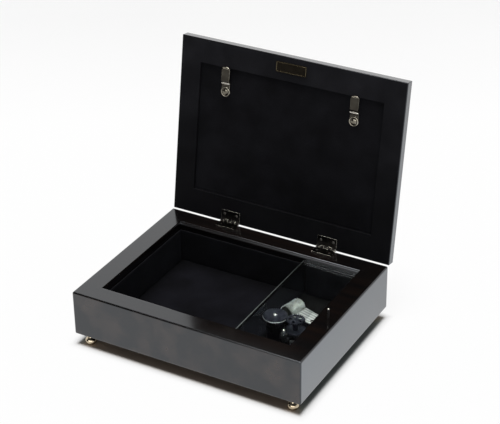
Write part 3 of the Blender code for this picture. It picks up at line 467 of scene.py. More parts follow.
class Graph:
    """A node tree with short calls that add and join its nodes."""

    def __init__(self, tree: bpy.types.NodeTree) -> None:
        """Start on a tree."""
        self.tree = tree

    def feed(self, node: Node, inputs: dict[int | str, object]) -> None:
        """Give inputs of a node a value or a link each.

        Args:
            node: The node.
            inputs: Values or output sockets by input name or number.
        """
        for key, value in inputs.items():
            if isinstance(value, Socket):
                self.tree.links.new(value, node.inputs[key])
            else:
                node.inputs[key].default_value = value

    def add(self, kind: str, inputs: dict[int | str, object] | None = None, **settings: object) -> Node:
        """Add a node.

        Args:
            kind: The node's type, without the prefix ShaderNode.
            inputs: Values or output sockets by input name or number.
            settings: The node's own settings.

        Returns:
            The new node.
        """
        node = self.tree.nodes.new(kind if kind.startswith("Node") else "ShaderNode" + kind)
        for key, value in settings.items():
            setattr(node, key, value)
        self.feed(node, inputs or {})
        return node

    def group(self, tree: bpy.types.NodeTree, inputs: dict[str, object]) -> Node:
        """Add a node group with its own values.

        Args:
            tree: The group.
            inputs: Numbers, colours or output sockets by input name.

        Returns:
            The new node.
        """
        node = self.add("Group")
        node.node_tree = tree
        for key, value in inputs.items():
            self.feed(node, {key: rgba(value) if isinstance(value, tuple) else value})
        return node

    def noise(self, vector: Socket, scale: float, detail: float = 3.0) -> Socket:
        """The value of a noise texture."""
        return self.add("TexNoise", {"Vector": vector, "Scale": scale, "Detail": detail}).outputs["Fac"]

    def span(self, value: Socket, span: Span) -> Socket:
        """Map a span's stretch onto its two values, held at its ends."""
        inputs = {"From Min": span.low, "From Max": span.high, "To Min": span.start, "To Max": span.end}
        return self.add("MapRange", {"Value": value, **inputs}).outputs["Result"]

    def ramp(self, value: Socket, low: float, high: float, to: tuple[float, float] = (0.0, 1.0)) -> Socket:
        """Map low to high onto the two values of to, held at its ends."""
        return self.span(value, Span(low, high, *to))

    def math(self, operation: str, a: object, b: object) -> Socket:
        """One sum on two values."""
        return self.add("Math", {0: a, 1: b}, operation=operation).outputs["Value"]

    def product(self, first: Socket, *others: Socket) -> Socket:
        """Multiply values.

        Args:
            first: A value.
            others: What it is multiplied by.

        Returns:
            Their product.
        """
        for other in others:
            first = self.math("MULTIPLY", first, other)
        return first

    def mix(self, mask: Socket, first: object, second: object) -> Socket:
        """Blend two colours by a mask."""
        return self.add("Mix", {"Factor": mask, "A": first, "B": second}, data_type="RGBA").outputs["Result"]

    def choose(self, mask: Socket, first: object, second: object) -> Socket:
        """Blend two values by a mask."""
        return self.add("Mix", {"Factor": mask, "A": first, "B": second}).outputs["Result"]

    def scaled(self, vector: Socket, share: object) -> Socket:
        """A vector or a colour times a number."""
        return self.add("VectorMath", {0: vector, "Scale": share}, operation="SCALE").outputs[0]

    def toward(self, vector: Socket, way: Point) -> Socket:
        """How far a vector goes in a direction."""
        return self.add("VectorMath", {0: vector, 1: way}, operation="DOT_PRODUCT").outputs["Value"]

    def axes(self, vector: Socket) -> bpy.types.NodeOutputs:
        """A vector's three numbers: X, Y and Z."""
        return self.add("SeparateXYZ", {0: vector}).outputs


def rgba(colour: Colour) -> tuple[float, float, float, float]:
    """A colour with full alpha."""
    return (*colour, 1.0)


def effect(
    name: str,
    sockets: dict[str, float | Colour],
    results: dict[str, str],
) -> tuple[Graph, Node, Node]:
    """Start a shader node group.

    Args:
        name: The group's name.
        sockets: Its inputs: a number for a value, three numbers for a colour.
        results: Its outputs and their socket types.

    Returns:
        The graph, the group's input node and its output node.
    """
    tree = bpy.data.node_groups.new(name, "ShaderNodeTree")
    tree.interface.new_socket("Vector", in_out="INPUT", socket_type="NodeSocketVector")
    for key, value in sockets.items():
        kind = "NodeSocketColor" if isinstance(value, tuple) else "NodeSocketFloat"
        made = tree.interface.new_socket(key, in_out="INPUT", socket_type=kind)
        made.default_value = rgba(value) if isinstance(value, tuple) else value
    for key, kind in results.items():
        tree.interface.new_socket(key, in_out="OUTPUT", socket_type=kind)
    graph = Graph(tree)
    return graph, graph.add("NodeGroupInput"), graph.add("NodeGroupOutput")


def figure_effect() -> bpy.types.NodeTree:
    """Dark wood under lacquer: long streaks and slow clouds blend two browns.

    Returns:
        The node group.
    """
    graph, given, out = effect(
        "wood_figure",
        {"Dark": (0.01, 0.007, 0.005), "Brown": (0.04, 0.02, 0.01), "Scale": 1.0},
        {"Colour": "NodeSocketColor", "Height": "NodeSocketFloat"},
    )
    place = given.outputs["Vector"]
    scaled = graph.scaled(place, given.outputs["Scale"])
    long_way = graph.add("Mapping", {"Vector": scaled, "Scale": (6.0, 160.0, 160.0)}).outputs[0]
    streaks = graph.ramp(graph.noise(long_way, 1.0, 5.0), 0.35, 0.7)
    clouds = graph.ramp(graph.noise(scaled, 22.0, 3.0), 0.35, 0.65, (0.1, 1.0))
    mask = graph.product(streaks, clouds)
    colour = graph.mix(mask, given.outputs["Dark"], given.outputs["Brown"])
    graph.feed(out, {"Colour": colour, "Height": graph.math("ADD", graph.noise(place, 900.0, 2.0), mask)})
    return graph.tree


def nap_effect() -> bpy.types.NodeTree:
    """Short pile: brushed patches change its shade and single hairs roughen it.

    Returns:
        The node group.
    """
    graph, given, out = effect(
        "velvet_nap",
        {"Deep": (0.003, 0.003, 0.004), "Light": (0.012, 0.012, 0.016)},
        {"Colour": "NodeSocketColor", "Height": "NodeSocketFloat"},
    )
    place = given.outputs["Vector"]
    patches = graph.ramp(graph.noise(place, 45.0, 4.0), 0.35, 0.7, (0.15, 1.0))
    hairs = graph.noise(place, 2600.0, 2.0)
    mask = graph.product(patches, graph.ramp(hairs, 0.3, 0.7, (0.3, 1.0)))
    colour = graph.mix(mask, given.outputs["Deep"], given.outputs["Light"])
    graph.feed(out, {"Colour": colour, "Height": hairs})
    return graph.tree


def polish_effect() -> bpy.types.NodeTree:
    """Metal as it is handled: fine lines one way, a few smudges and a slightly uneven colour.

    Returns:
        The node group.
    """
    graph, given, out = effect(
        "metal_polish",
        {"Bright": (0.8, 0.8, 0.8), "Dull": (0.6, 0.6, 0.6), "Smooth": 0.15, "Rough": 0.3},
        {"Colour": "NodeSocketColor", "Roughness": "NodeSocketFloat", "Height": "NodeSocketFloat"},
    )
    place = given.outputs["Vector"]
    lines = graph.noise(place, 1.0, 4.0)
    smudges = graph.ramp(graph.noise(graph.scaled(place, 0.02), 14.0, 3.0), 0.38, 0.66)
    both = graph.math("MULTIPLY", graph.math("ADD", smudges, lines), 0.5)
    span = graph.math("SUBTRACT", given.outputs["Rough"], given.outputs["Smooth"])
    graph.feed(out, {
        "Colour": graph.mix(both, given.outputs["Bright"], given.outputs["Dull"]),
        "Roughness": graph.math("ADD", given.outputs["Smooth"], graph.product(span, both)),
        "Height": lines,
    })
    return graph.tree


class Effects:
    """The node groups, each built once."""

    figure = figure_effect()
    nap = nap_effect()
    polish = polish_effect()


@dataclass(frozen=True)
class Finish:
    """A finish with its name; each kind fills in the shader."""

    name: str

    def material(self) -> bpy.types.Material:
        """Make the finish's material on first use.

        Returns:
            The material.
        """
        known = bpy.data.materials.get(f"look_{self.name}")
        if known:
            return known
        made = bpy.data.materials.new(f"look_{self.name}")
        made.use_nodes = True
        graph = Graph(made.node_tree)
        place = graph.add("TexCoord").outputs["Object"]
        self.fill(graph, made.node_tree.nodes["Principled BSDF"], place)
        return made

    def fill(self, graph: Graph, shader: Node, place: Socket) -> None:
        """Join the finish's nodes to the shader."""
        raise NotImplementedError

    @staticmethod
    def bump(graph: Graph, shader: Node, height: object, strength: float, depth: float) -> None:
        """Let a height roughen the surface by up to depth metres."""
        node = graph.add("Bump", {"Height": height, "Strength": strength, "Distance": depth})
        graph.tree.links.new(node.outputs["Normal"], shader.inputs["Normal"])


@dataclass(frozen=True)
class Lacquer(Finish):
    """Clear gloss over dark wood; clouds of burl are painted lighter on the front face alone, as painted
    light falling on the front.
    """

    dark: Colour = (0.0030, 0.0026, 0.0026)
    brown: Colour = (0.0095, 0.0056, 0.0040)
    lit_front_burl: Colour = (0.047, 0.031, 0.023)
    scale: float = 1.0
    # The front face: the lighter burl clouds there are painted light falling on it
    front: Span = Span(-DEPTH / 2 + 0.05 * MM, -DEPTH / 2 + 0.25 * MM, 1.0, 0.0)
    burl_scale: float = 60.0
    burl: Span = Span(0.44, 0.72, 0.0, 1.0)
    roughness: Span = Span(0.3, 0.7, 0.10, 0.16)
    coat: float = 0.13
    coat_index: float = 1.36
    # Painted reflection: the base's reflections are tinted a little blue
    cool: Colour = (0.82, 0.90, 1.0)

    def fill(self, graph: Graph, shader: Node, place: Socket) -> None:
        """Wood figure below, a coat above, and a trace of ripple in both.

        Args:
            graph: The material's graph.
            shader: Its Principled BSDF.
            place: The point on the surface.
        """
        figure = {"Vector": place, "Dark": self.dark, "Brown": self.brown, "Scale": self.scale}
        wood = graph.group(Effects.figure, figure)
        # Painted light: the burl clouds show lighter on the front face only
        face = graph.span(graph.axes(place)["Y"], self.front)
        burl = graph.span(graph.noise(place, self.burl_scale, 4.0), self.burl)
        graph.feed(shader, {
            "Base Color": graph.mix(graph.product(face, burl), wood.outputs["Colour"], rgba(self.lit_front_burl)),
            "Roughness": graph.span(graph.noise(place, self.burl_scale, 3.0), self.roughness),
            "IOR": 1.5,
            "Coat Weight": 1.0,
            "Coat Roughness": self.coat,
            "Coat IOR": self.coat_index,
            "Specular Tint": rgba(self.cool),
        })
        self.bump(graph, shader, wood.outputs["Height"], 0.06, 0.02 * MM)


@dataclass(frozen=True)
class Nap(Finish):
    """Velvet pile, or flocked paper where it is short."""

    deep: Colour = (0.0022, 0.0022, 0.0030)
    light: Colour = (0.0090, 0.0090, 0.0125)
    sheen: float = 0.03
    depth: float = 0.25 * MM
    # Painted shade near the walls: the left wall's x, the back wall's y and how far the darkening reaches
    corners: tuple[float, float, float] | None = None
    # Painted light: a gain by height that draws the pile lighter towards the top
    rise: Span | None = None
    left_shade_reach: float = 0.7
    wall_shade_curve: float = 0.7
    sheen_tint: Colour = (0.55, 0.60, 0.75)

    def fill(self, graph: Graph, shader: Node, place: Socket) -> None:
        """Shaded pile with almost no gloss and a faint cool sheen.

        Args:
            graph: The material's graph.
            shader: Its Principled BSDF.
            place: The point on the surface.
        """
        pile = graph.group(Effects.nap, {"Vector": place, "Deep": self.deep, "Light": self.light})
        colour = pile.outputs["Colour"]
        if self.corners or self.rise:
            colour = graph.scaled(colour, self.shade(graph, place))
        graph.feed(shader, {
            "Base Color": colour,
            "Roughness": 0.95,
            "Specular IOR Level": 0.08,
            "Sheen Weight": self.sheen,
            "Sheen Roughness": 0.45,
            "Sheen Tint": rgba(self.sheen_tint),
        })
        self.bump(graph, shader, pile.outputs["Height"], 0.5, self.depth)

    def shade(self, graph: Graph, place: Socket) -> Socket:
        """How much lighter or darker the pile is at a point.

        Args:
            graph: The material's graph.
            place: The point on the surface.

        Returns:
            With corners, a share that rises away from the left and back walls: painted shade that darkens the
            pile near them.
            With a rise, the gain at the point's height: painted light that makes the pile lighter higher up.
        """
        axes = graph.axes(place)
        if self.rise:
            return graph.span(axes["Z"], self.rise)
        # Painted shade: the pile is drawn darker towards the left and back walls
        left, back, reach = self.corners
        from_left = graph.ramp(axes["X"], left, left + self.left_shade_reach * reach)
        from_back = graph.ramp(axes["Y"], back, back - reach)
        return graph.math("POWER", graph.product(from_left, from_back), self.wall_shade_curve)


class Brushing(Enum):
    """Which way the fine lines of a metal run, as the scale of their pattern along X, Y and Z."""

    ACROSS = (60.0, 2200.0, 2200.0)
    NONE = (500.0, 500.0, 500.0)
    SPECKLED = (700.0, 700.0, 700.0)


@dataclass(frozen=True)
class Metal(Finish):
    """Plated or bare metal."""

    bright: Colour = (0.80, 0.79, 0.76)
    dull: Colour = (0.66, 0.65, 0.62)
    smooth: float = 0.10
    rough: float = 0.22
    brushing: Brushing = Brushing.NONE
    depth: float = 0.004 * MM

    def fill(self, graph: Graph, shader: Node, place: Socket) -> None:
        """Polish pattern on colour, roughness and height.

        Args:
            graph: The material's graph.
            shader: Its Principled BSDF.
            place: The point on the surface.
        """
        metal = graph.group(Effects.polish, {
            "Vector": graph.add("Mapping", {"Vector": place, "Scale": self.brushing.value}).outputs[0],
            "Bright": self.bright,
            "Dull": self.dull,
            "Smooth": self.smooth,
            "Rough": self.rough,
        })
        graph.feed(shader, {
            "Base Color": self.shaded(graph, metal.outputs["Colour"], place),
            "Roughness": metal.outputs["Roughness"],
            "Metallic": 1.0,
        })
        self.bump(graph, shader, metal.outputs["Height"], 0.4, self.depth)

    def shaded(self, graph: Graph, colour: Socket, place: Socket) -> Socket:
        """The colour as it is; worked metal changes it from place to place."""
        return colour


@dataclass(frozen=True)
class Worked(Metal):
    """Metal whose colour changes along the movement: in dark bands painted as the shade in the slits between
    comb teeth, or in painted shade towards one end.
    """

    turn: float = 0.0
    pitch: float = 0.0
    # Painted shade: the darkest share of the bands
    slit_shade: float = 1.0
    # Painted shade: a span along the movement over which the colour darkens
    painted_fade: Span | None = None
    wave: tuple[float, float] = (-0.3, 0.5)

    def shaded(self, graph: Graph, colour: Socket, place: Socket) -> Socket:
        """Paint shade into the colour: along a span, or by a soft wave sin(2 pi x / pitch) down to the
        darkest share.

        Args:
            graph: The material's graph.
            colour: The metal's colour.
            place: The point on the surface.

        Returns:
            The shaded colour.
        """
        along = graph.toward(place, (math.sin(-self.turn), math.cos(self.turn), 0.0))
        if self.painted_fade:
            return graph.scaled(colour, graph.span(along, self.painted_fade))
        wave = graph.math("SINE", graph.math("MULTIPLY", along, TAU / self.pitch), 0.0)
        return graph.scaled(colour, graph.ramp(wave, *self.wave, (self.slit_shade, 1.0)))


@dataclass(frozen=True)
class Glass(Finish):
    """Clear float glass with a trace of green, which lets most of the lamp's light through."""

    tint: Colour = (0.93, 0.985, 0.97)
    shade: float = 0.25
    gloss: float = 0.12
    paler: float = 1.03

    def fill(self, graph: Graph, shader: Node, place: Socket) -> None:
        """Tinted glass of a barely uneven colour.

        Args:
            graph: The material's graph.
            shader: Its Principled BSDF.
            place: The point on the surface.
        """
        haze = graph.ramp(graph.noise(place, 35.0, 2.0), 0.3, 0.7)
        paler = tuple(min(1.0, part * self.paler) for part in self.tint)
        shadow = graph.add("LightPath").outputs["Is Shadow Ray"]
        graph.feed(shader, {
            "Base Color": graph.mix(haze, rgba(self.tint), rgba(paler)),
            "Roughness": 0.0,
            "IOR": 1.5,
            "Specular IOR Level": self.gloss,
            "Transmission Weight": 1.0,
            "Alpha": graph.ramp(shadow, 0.0, 1.0, (1.0, self.shade)),
        })


@dataclass(frozen=True)
class Fibre(Finish):
    """Card, board or moulded plastic: a speckled matt surface."""

    base: Colour = (0.75, 0.73, 0.67)
    fleck: Colour = (0.62, 0.59, 0.52)
    roughness: float = 0.85
    grain: float = 900.0
    depth: float = 0.03 * MM
    # Painted light and shade: a gain along Y, where a finish has one
    painted_fade: Span | None = None
    gloss: float = 0.3
    uneven: float = 0.06

    def fill(self, graph: Graph, shader: Node, place: Socket) -> None:
        """Fine flecks over a slow change of shade.

        Args:
            graph: The material's graph.
            shader: Its Principled BSDF.
            place: The point on the surface.
        """
        flecks = graph.noise(place, self.grain, 3.0)
        slow = graph.ramp(graph.noise(place, 30.0, 2.0), 0.3, 0.7, (0.4, 1.0))
        mask = graph.product(graph.ramp(flecks, 0.4, 0.65), slow)
        limits = (self.roughness - self.uneven, self.roughness + self.uneven)
        colour = graph.mix(mask, rgba(self.base), rgba(self.fleck))
        if self.painted_fade:
            colour = graph.scaled(colour, graph.span(graph.axes(place)["Y"], self.painted_fade))
        graph.feed(shader, {
            "Base Color": colour,
            "Roughness": graph.ramp(flecks, 0.3, 0.7, limits),
            "Specular IOR Level": self.gloss,
        })
        self.bump(graph, shader, flecks, 0.4, self.depth)


class Finishes:
    """Every finish on the box."""

    lacquer = Lacquer("dark_lacquer")
    velvet = Nap("black_velvet", (0.0034, 0.0034, 0.0040), (0.0125, 0.0125, 0.0155))
    # Painted shade: the jewel floor's pile is drawn darker towards its left and back walls
    floor_velvet = Nap("floor_velvet", corners=(-77.0 * MM, 53.5 * MM, 22.0 * MM))
    # Painted light: the flock inside the open lid is drawn up to three times lighter towards its top
    flock = Nap(
        "flocked_paper",
        (0.0032, 0.0032, 0.0038),
        (0.0080, 0.0080, 0.0095),
        0.01,
        0.08 * MM,
        rise=Span(70.0 * MM, 185.0 * MM, 1.0, 3.0),
    )
    board = Fibre("stained_board", (0.0030, 0.0030, 0.0030), (0.0060, 0.0056, 0.0052), 0.8, gloss=0.05)
    card = Fibre("plain_card", (0.54, 0.52, 0.47), (0.47, 0.45, 0.40))
    glass = Glass("clear_glass")
    # The cover's ground arris: a pale matt edge, painted lighter towards the front and darker towards the
    # back
    ground_glass = Fibre(
        "ground_glass_edge",
        (0.33, 0.37, 0.35),
        (0.22, 0.25, 0.24),
        0.5,
        2500.0,
        0.01 * MM,
        Span(-40.0 * MM, 50.0 * MM, 1.0, 0.25),
    )
    nickel = Metal("nickel_plate", (0.82, 0.80, 0.75), (0.66, 0.64, 0.58), 0.06, 0.15)
    foot_plate = Metal("foot_plate", (0.66, 0.57, 0.42), (0.40, 0.32, 0.22), 0.06, 0.14)
    # Painted reflection on the clips: the nickel plate and rivet dome are drawn far darker, and the rims,
    # rolled eye, curled tip and step rib far brighter
    clip_plate = Metal("clip_plate", (0.060, 0.055, 0.045), (0.028, 0.025, 0.020), 0.12, 0.26)
    clip_rim_highlight = Metal("clip_rim_highlight", (0.42, 0.39, 0.32), (0.22, 0.20, 0.16), 0.10, 0.22)
    clip_step_highlight = Metal("clip_step_highlight", (0.66, 0.63, 0.57), (0.44, 0.41, 0.36), 0.20, 0.34)
    clip_dome = Metal("clip_dome", (0.22, 0.20, 0.16), (0.10, 0.09, 0.07), 0.05, 0.12)
    # Painted reflection on the hinges: the brass leaves and nickel screws are drawn far darker than their
    # metal, the leaves' rounded edges far brighter
    hinge_face = Metal("hinge_face", (0.045, 0.042, 0.038), (0.020, 0.018, 0.016), 0.16, 0.30)
    hinge_rim_highlight = Metal("hinge_rim_highlight", (0.95, 0.92, 0.82), (0.30, 0.28, 0.24), 0.16, 0.34)
    hinge_screw = Metal("hinge_screw", (0.22, 0.21, 0.19), (0.07, 0.065, 0.06), 0.16, 0.34)
    # Painted shade: the stop pin's nickel shaft is drawn near black below its bright tip
    dark_shaft = Metal("dark_shaft", (0.030, 0.028, 0.028), (0.016, 0.015, 0.015), 0.25, 0.40)
    # Painted reflection: the barrel drum and idler stud, nickel in the record, are given these dark plate
    # finishes
    bed_plate = Metal("bed_plate", (0.040, 0.042, 0.052), (0.020, 0.021, 0.027), 0.22, 0.36)
    wheel_plate = Metal(
        "wheel_plate",
        (0.125, 0.132, 0.172),
        (0.016, 0.017, 0.026),
        0.34,
        0.50,
        Brushing.SPECKLED,
    )
    # Painted highlights: the great wheel's rim bead and the wheels' rounded edges are drawn brighter than the
    # wheels; the cylinder pins share the bead's bright steel
    wheel_rim = Metal("wheel_rim", (0.95, 0.97, 1.0), (0.75, 0.78, 0.80), 0.38, 0.52)
    wheel_edge_highlight = Metal("wheel_edge_highlight", (0.34, 0.36, 0.42), (0.10, 0.105, 0.13), 0.34, 0.50, Brushing.SPECKLED)
    # Painted reflection on the rail plate: its brass face is drawn near black and its rim bead bright
    plate_face = Metal("plate_face", (0.016, 0.013, 0.009), (0.007, 0.006, 0.005), 0.20, 0.34)
    plate_rim_highlight = Metal("plate_rim_highlight", (0.17, 0.135, 0.075), (0.075, 0.06, 0.035), 0.12, 0.24)
    cast_nickel = Metal("cast_nickel", (0.70, 0.72, 0.75), (0.16, 0.17, 0.19), 0.16, 0.34, Brushing.SPECKLED)
    # Painted shade: dark bands across the comb stand for the shade in the slits between its teeth
    comb_steel = Worked(
        "comb_steel",
        (0.95, 0.95, 0.92),
        (0.80, 0.81, 0.78),
        0.46,
        0.60,
        turn=MOVEMENT.angle,
        pitch=2.6 * MM,
        slit_shade=0.62,
    )
    steel = Metal("tempered_steel", (0.66, 0.66, 0.66), (0.48, 0.48, 0.50), 0.22, 0.38, Brushing.ACROSS)
    # Painted shade: the cylinder is drawn darker towards its front end
    cylinder_plate = Worked(
        "cylinder_plate",
        (0.92, 0.95, 0.86),
        (0.34, 0.36, 0.31),
        0.28,
        0.46,
        Brushing.SPECKLED,
        turn=MOVEMENT.angle,
        painted_fade=Span(9.5 * MM, 15.0 * MM, 0.30, 1.0),
    )
    brass = Metal("turned_brass", (0.36, 0.27, 0.14), (0.22, 0.16, 0.08), 0.20, 0.36)
    fan = Fibre("moulded_fan", (0.018, 0.018, 0.020), (0.026, 0.026, 0.028), 0.45, 1500.0, 0.01 * MM)


def dress(
    obj: bpy.types.Object,
    body: str,
    slot: str,
    *finishes: Finish,
    stands_for: tuple[str, ...] = (),
) -> bpy.types.Object:
    """Give a piece its finishes and its body.

    Args:
        obj: The piece.
        body: The body it rides on.
        slot: The record's material slot; not used.
        finishes: One finish, or one for each zone of the mesh.
        stands_for: The solids that it replaces.

    Returns:
        The same piece.
    """
    for finish in finishes:
        obj.data.materials.append(finish.material())
    if stands_for:
        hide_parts(*stands_for)
    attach(obj, body)
    return obj


def refined(
    node: str,
    slot: str,
    finish: Finish,
    bevel: float = 0.0,
    sharp: float = 30.0,
    edge_highlight: Finish | None = None,
) -> bpy.types.Object:
    """A solid's copy with its triangles merged, smooth shading and, where asked, fine rounded edges.

    Args:
        node: The solid.
        slot: Its material slot in the record.
        finish: Its finish.
        bevel: The width of the rounded edges, or 0 for none.
        sharp: The angle in degrees past which an edge stays sharp.
        edge_highlight: The finish of the rounded edges where it differs: a brighter copy of the piece's
            metal, a painted highlight.

    Returns:
        The dressed copy.
    """
    source = frame["nodes"][node]
    mesh = source.data.copy()
    mesh.name = f"{node}_dressed"
    mesh.materials.clear()
    bm = bmesh.new()
    bm.from_mesh(mesh)
    bmesh.ops.remove_doubles(bm, verts=bm.verts, dist=DOUBLED)
    bmesh.ops.dissolve_limit(bm, angle_limit=FLAT, verts=bm.verts, edges=bm.edges)
    bm.to_mesh(mesh)
    bm.free()
    obj = show(f"{node}_dressed", mesh, sharp)
    if bevel:
        rounding = obj.modifiers.new("fine_edge", "BEVEL")
        rounding.width = bevel
        rounding.segments = 2
        rounding.limit_method = "ANGLE"
        rounding.angle_limit = CREASE
        rounding.use_clamp_overlap = True
        rounding.harden_normals = True
        # Painted highlight: the rounded edges take their own brighter finish
        rounding.material = 1 if edge_highlight else -1
    finishes = (finish, edge_highlight) if edge_highlight else (finish,)
    return dress(obj, source["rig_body"], slot, *finishes, stands_for=(node,))


# Sub-assemblies


@dataclass
class Case:
    """Lacquered case, bottom board and turned feet."""

    width: float = WIDTH
    depth: float = DEPTH
    height: float = HEIGHT
    rail: float = 17.0 * MM
    corner: float = 1.2 * MM
    rim_across: float = 0.8 * MM
    rim_along: float = 2.2 * MM
    rim_drop: float = 3.2 * MM
    ledge: float = 5.0 * MM
    rebate: float = 2.7 * MM
    foot_radius: float = 4.4 * MM
    foot_outline: tuple[tuple[float, float], ...] = (
        (0.0, 0.0), (0.64, 0.0), (0.66, -0.02), (0.66, -0.10), (0.50, -0.15), (0.40, -0.28), (0.42, -0.38),
        (0.62, -0.47), (0.86, -0.56), (0.97, -0.66), (1.0, -0.76), (0.96, -0.88), (0.84, -0.96), (0.66, -1.0),
        (0.0, -1.0),
    )
    board_edge: float = 0.2 * MM
    board_screw_out: float = 1.5 * MM
    board_screw: tuple[float, float] = (2.2 * MM, 0.25 * MM)
    movement_screw: tuple[float, float] = (1.9 * MM, 0.4 * MM)
    movement_screws: tuple[tuple[float, float], ...] = (
        (2.0 * MM, 22.0 * MM),
        (18.5 * MM, -4.0 * MM),
        (-4.6 * MM, -9.0 * MM),
    )

    def moulding(self) -> np.ndarray:
        """The rail's outline: an outer face with rounded edges, an eased inner rim and the rebate underneath.

        The inner rim is a quarter of an ellipse, with inset = rail - width (1 - cos a) and height =
        top - drop (1 - sin a). It is wider on the front and back rails than on the side rails.

        Returns:
            The outline, as framed() takes it.
        """
        top, r = self.height, self.corner
        bend = np.radians(np.linspace(90, 0, 10))
        outer = np.concatenate([arc((r, r), r, 270, 180), arc((r, top - r), r, 180, 90)])
        rim_height = top - self.rim_drop * (1 - np.sin(bend))
        step = self.rail - self.ledge
        under = np.array([[self.rail, self.rebate], [step, self.rebate], [step, 0.0]])
        across, along = (
            np.concatenate([outer[:, 0], self.rail - width * (1 - np.cos(bend)), under[:, 0]])
            for width in (self.rim_across, self.rim_along)
        )
        height = np.concatenate([outer[:, 1], rim_height, under[:, 1]])
        return np.stack([across, along, height, 0 * height], -1)

    def build(self) -> None:
        """Build the frame, the board with its screws, and the feet."""
        half = (self.width / 2, self.depth / 2)
        shell = framed("case_shell", half, (0, 0), self.moulding(), self.corner)
        dress(shell, "case", "lacquer", Finishes.lacquer, stands_for=("case_frame",))
        refined("bottom_board", "dark_board", Finishes.board, self.board_edge)
        half_x, half_y = (size - self.rail + self.board_screw_out for size in half)
        spots = [(x * half_x, y * half_y) for x in (-1, 0, 1) for y in (-1, 1)]
        for number, (x, y) in enumerate(spots):
            head = screw_head(f"board_screw_{number}", (x, y, 0), *self.board_screw, 0.7 * number, down=True)
            dress(head, "case", "nickel", Finishes.nickel)
        for number, (x, y) in enumerate(self.movement_screws):
            spot = tuple(MOVEMENT.carry(np.array([x, y, -self.height])))
            head = screw_head(f"movement_screw_{number}", spot, *self.movement_screw, 0.4 + number, down=True)
            dress(head, "case", "nickel", Finishes.nickel)
        self.feet()

    def feet(self) -> None:
        """Turned feet: a collar, a narrow waist and a flared round base."""
        low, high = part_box("foot_front_left")
        size = np.array([self.foot_radius, high.z - low.z])
        profile = rounded_off(np.array(self.foot_outline) * size + np.array([0.0, high.z]), 2)
        profile[:, 1] = np.clip(profile[:, 1], low.z, high.z)
        for end in ("front", "back"):
            for side in ("left", "right"):
                node = f"foot_{end}_{side}"
                low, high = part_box(node)
                middle = ((low.x + high.x) / 2, (low.y + high.y) / 2, 0.0)
                foot = turned(f"{node}_turned", profile, middle, sides=64)
                dress(foot, "case", "pale_gold", Finishes.foot_plate, stands_for=(node,))


@dataclass
class Linings:
    """Velvet covered cards and the two panes of glass."""

    swell: float = 0.12 * MM
    pitch: float = 3.0 * MM
    pane_edge: float = 0.10 * MM
    arris: float = 0.30 * MM
    let_in: float = 0.4 * MM
    nap_edge: float = 0.6 * MM
    drop: float = 1.1 * MM
    arris_edge: float = 0.08 * MM
    arris_deep: float = 0.3 * MM
    arris_proud: float = 0.02 * MM
    arris_short: float = 0.2 * MM

    def card(self, node: str) -> None:
        """A velvet covered card with soft edges and an uneven pile.

        Args:
            node: The solid that it replaces.
        """
        low, high = (np.array(corner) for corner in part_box(node))
        if "liner" in node:
            high[2] -= self.drop
        edge = min(self.nap_edge, 0.45 * float((high - low).min()))
        low, high = low + self.swell, high - self.swell
        made = block(f"{node}_velvet", low, high, edge, ROW, self.pitch, self.swell)
        finish = Finishes.floor_velvet if node == "jewel_floor_pad" else Finishes.velvet
        dress(made, "case", "velvet", finish, stands_for=(node,))

    def pane(self, node: str, body: str, low: np.ndarray, high: np.ndarray, place: Place = ROW) -> None:
        """A clear pane with fine polished edges.

        Args:
            node: The solid that it replaces.
            body: The body it rides on.
            low: Its lowest corner.
            high: Its highest corner.
            place: The frame that its corners are in.
        """
        made = block(f"{node}_pane", low, high, self.pane_edge, place, sharp=5.0)
        dress(made, body, "clear_glass", Finishes.glass, stands_for=(node,))

    def build(self) -> None:
        """Line both compartments and set the panes."""
        for node in (
            "jewel_liner_front",
            "jewel_liner_back",
            "jewel_liner_left",
            "jewel_floor_pad",
            "music_liner_front",
            "music_liner_back",
        ):
            self.card(node)
        right = refined("music_liner_right", "velvet", Finishes.velvet).data.vertices
        points = np.empty(len(right) * 3)
        right.foreach_get("co", points)
        points[2::3] = np.minimum(points[2::3], points[2::3].max() - self.drop)
        right.foreach_set("co", points)
        down = np.array([0.0, 0.0, self.drop])
        low, high = (np.array(corner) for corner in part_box("glass_partition"))
        into = np.array([0.0, self.let_in, self.let_in])
        self.pane("glass_partition", "case", low - into, high + into - down)
        low, high = (np.array(corner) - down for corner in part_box("glass_cover"))
        self.pane("glass_cover", "case", low - (0, self.let_in, 0), high + (self.let_in, self.let_in, 0))
        start = np.array([low[0] - self.arris_proud, low[1] + self.arris_short, high[2] - self.arris_deep])
        end = np.array([low[0] + self.arris, high[1] - self.arris_short, high[2] + self.arris_proud])
        strip = block("cover_ground_arris", start, end, self.arris_edge, sharp=5.0)
        dress(strip, "case", "clear_glass", Finishes.ground_glass)


@dataclass
class Hinges:
    """Two butt hinges with their screws."""

    centre: float = 42.5 * MM
    screw_apart: float = 10.6 * MM
    screw_back: float = 5.6 * MM
    leaf_face: float = 0.2 * MM
    screw: tuple[float, float] = (1.15 * MM, 0.16 * MM)
    leaf_edge: float = 0.12 * MM

    def build(self) -> None:
        """Leaves, pins and two screws in each leaf."""
        up = Place(LID.origin)
        for side, x in (("left", -self.centre), ("right", self.centre)):
            for leaf in ("case", "lid"):
                node = f"hinge_{side}_{leaf}_leaf"
                rim = Finishes.hinge_rim_highlight
                refined(node, "pale_gold", Finishes.hinge_face, self.leaf_edge, edge_highlight=rim)
            refined(f"hinge_{side}_pin", "nickel", Finishes.nickel)
            for number, way in enumerate((-1, 1)):
                spot = x + way * self.screw_apart / 2
                for body, place, face in (("case", up, -self.leaf_face), ("lid", LID, self.leaf_face)):
                    head = screw_head(
                        f"hinge_{side}_{body}_screw_{number}",
                        (spot, -self.screw_back, face),
                        *self.screw,
                        0.6 + number + x,
                        place,
                        down=body == "lid",
                    )
                    dress(head, body, "nickel", Finishes.hinge_screw)


@dataclass(frozen=True)
class Loop:
    """A flat wire loop on a turn clip; ahead is how far its middle lies from the pivot towards the tip."""

    name: str
    ahead: float
    face: float
    across: float
    along: float
    wire: float
    points: int
    finish: Finish


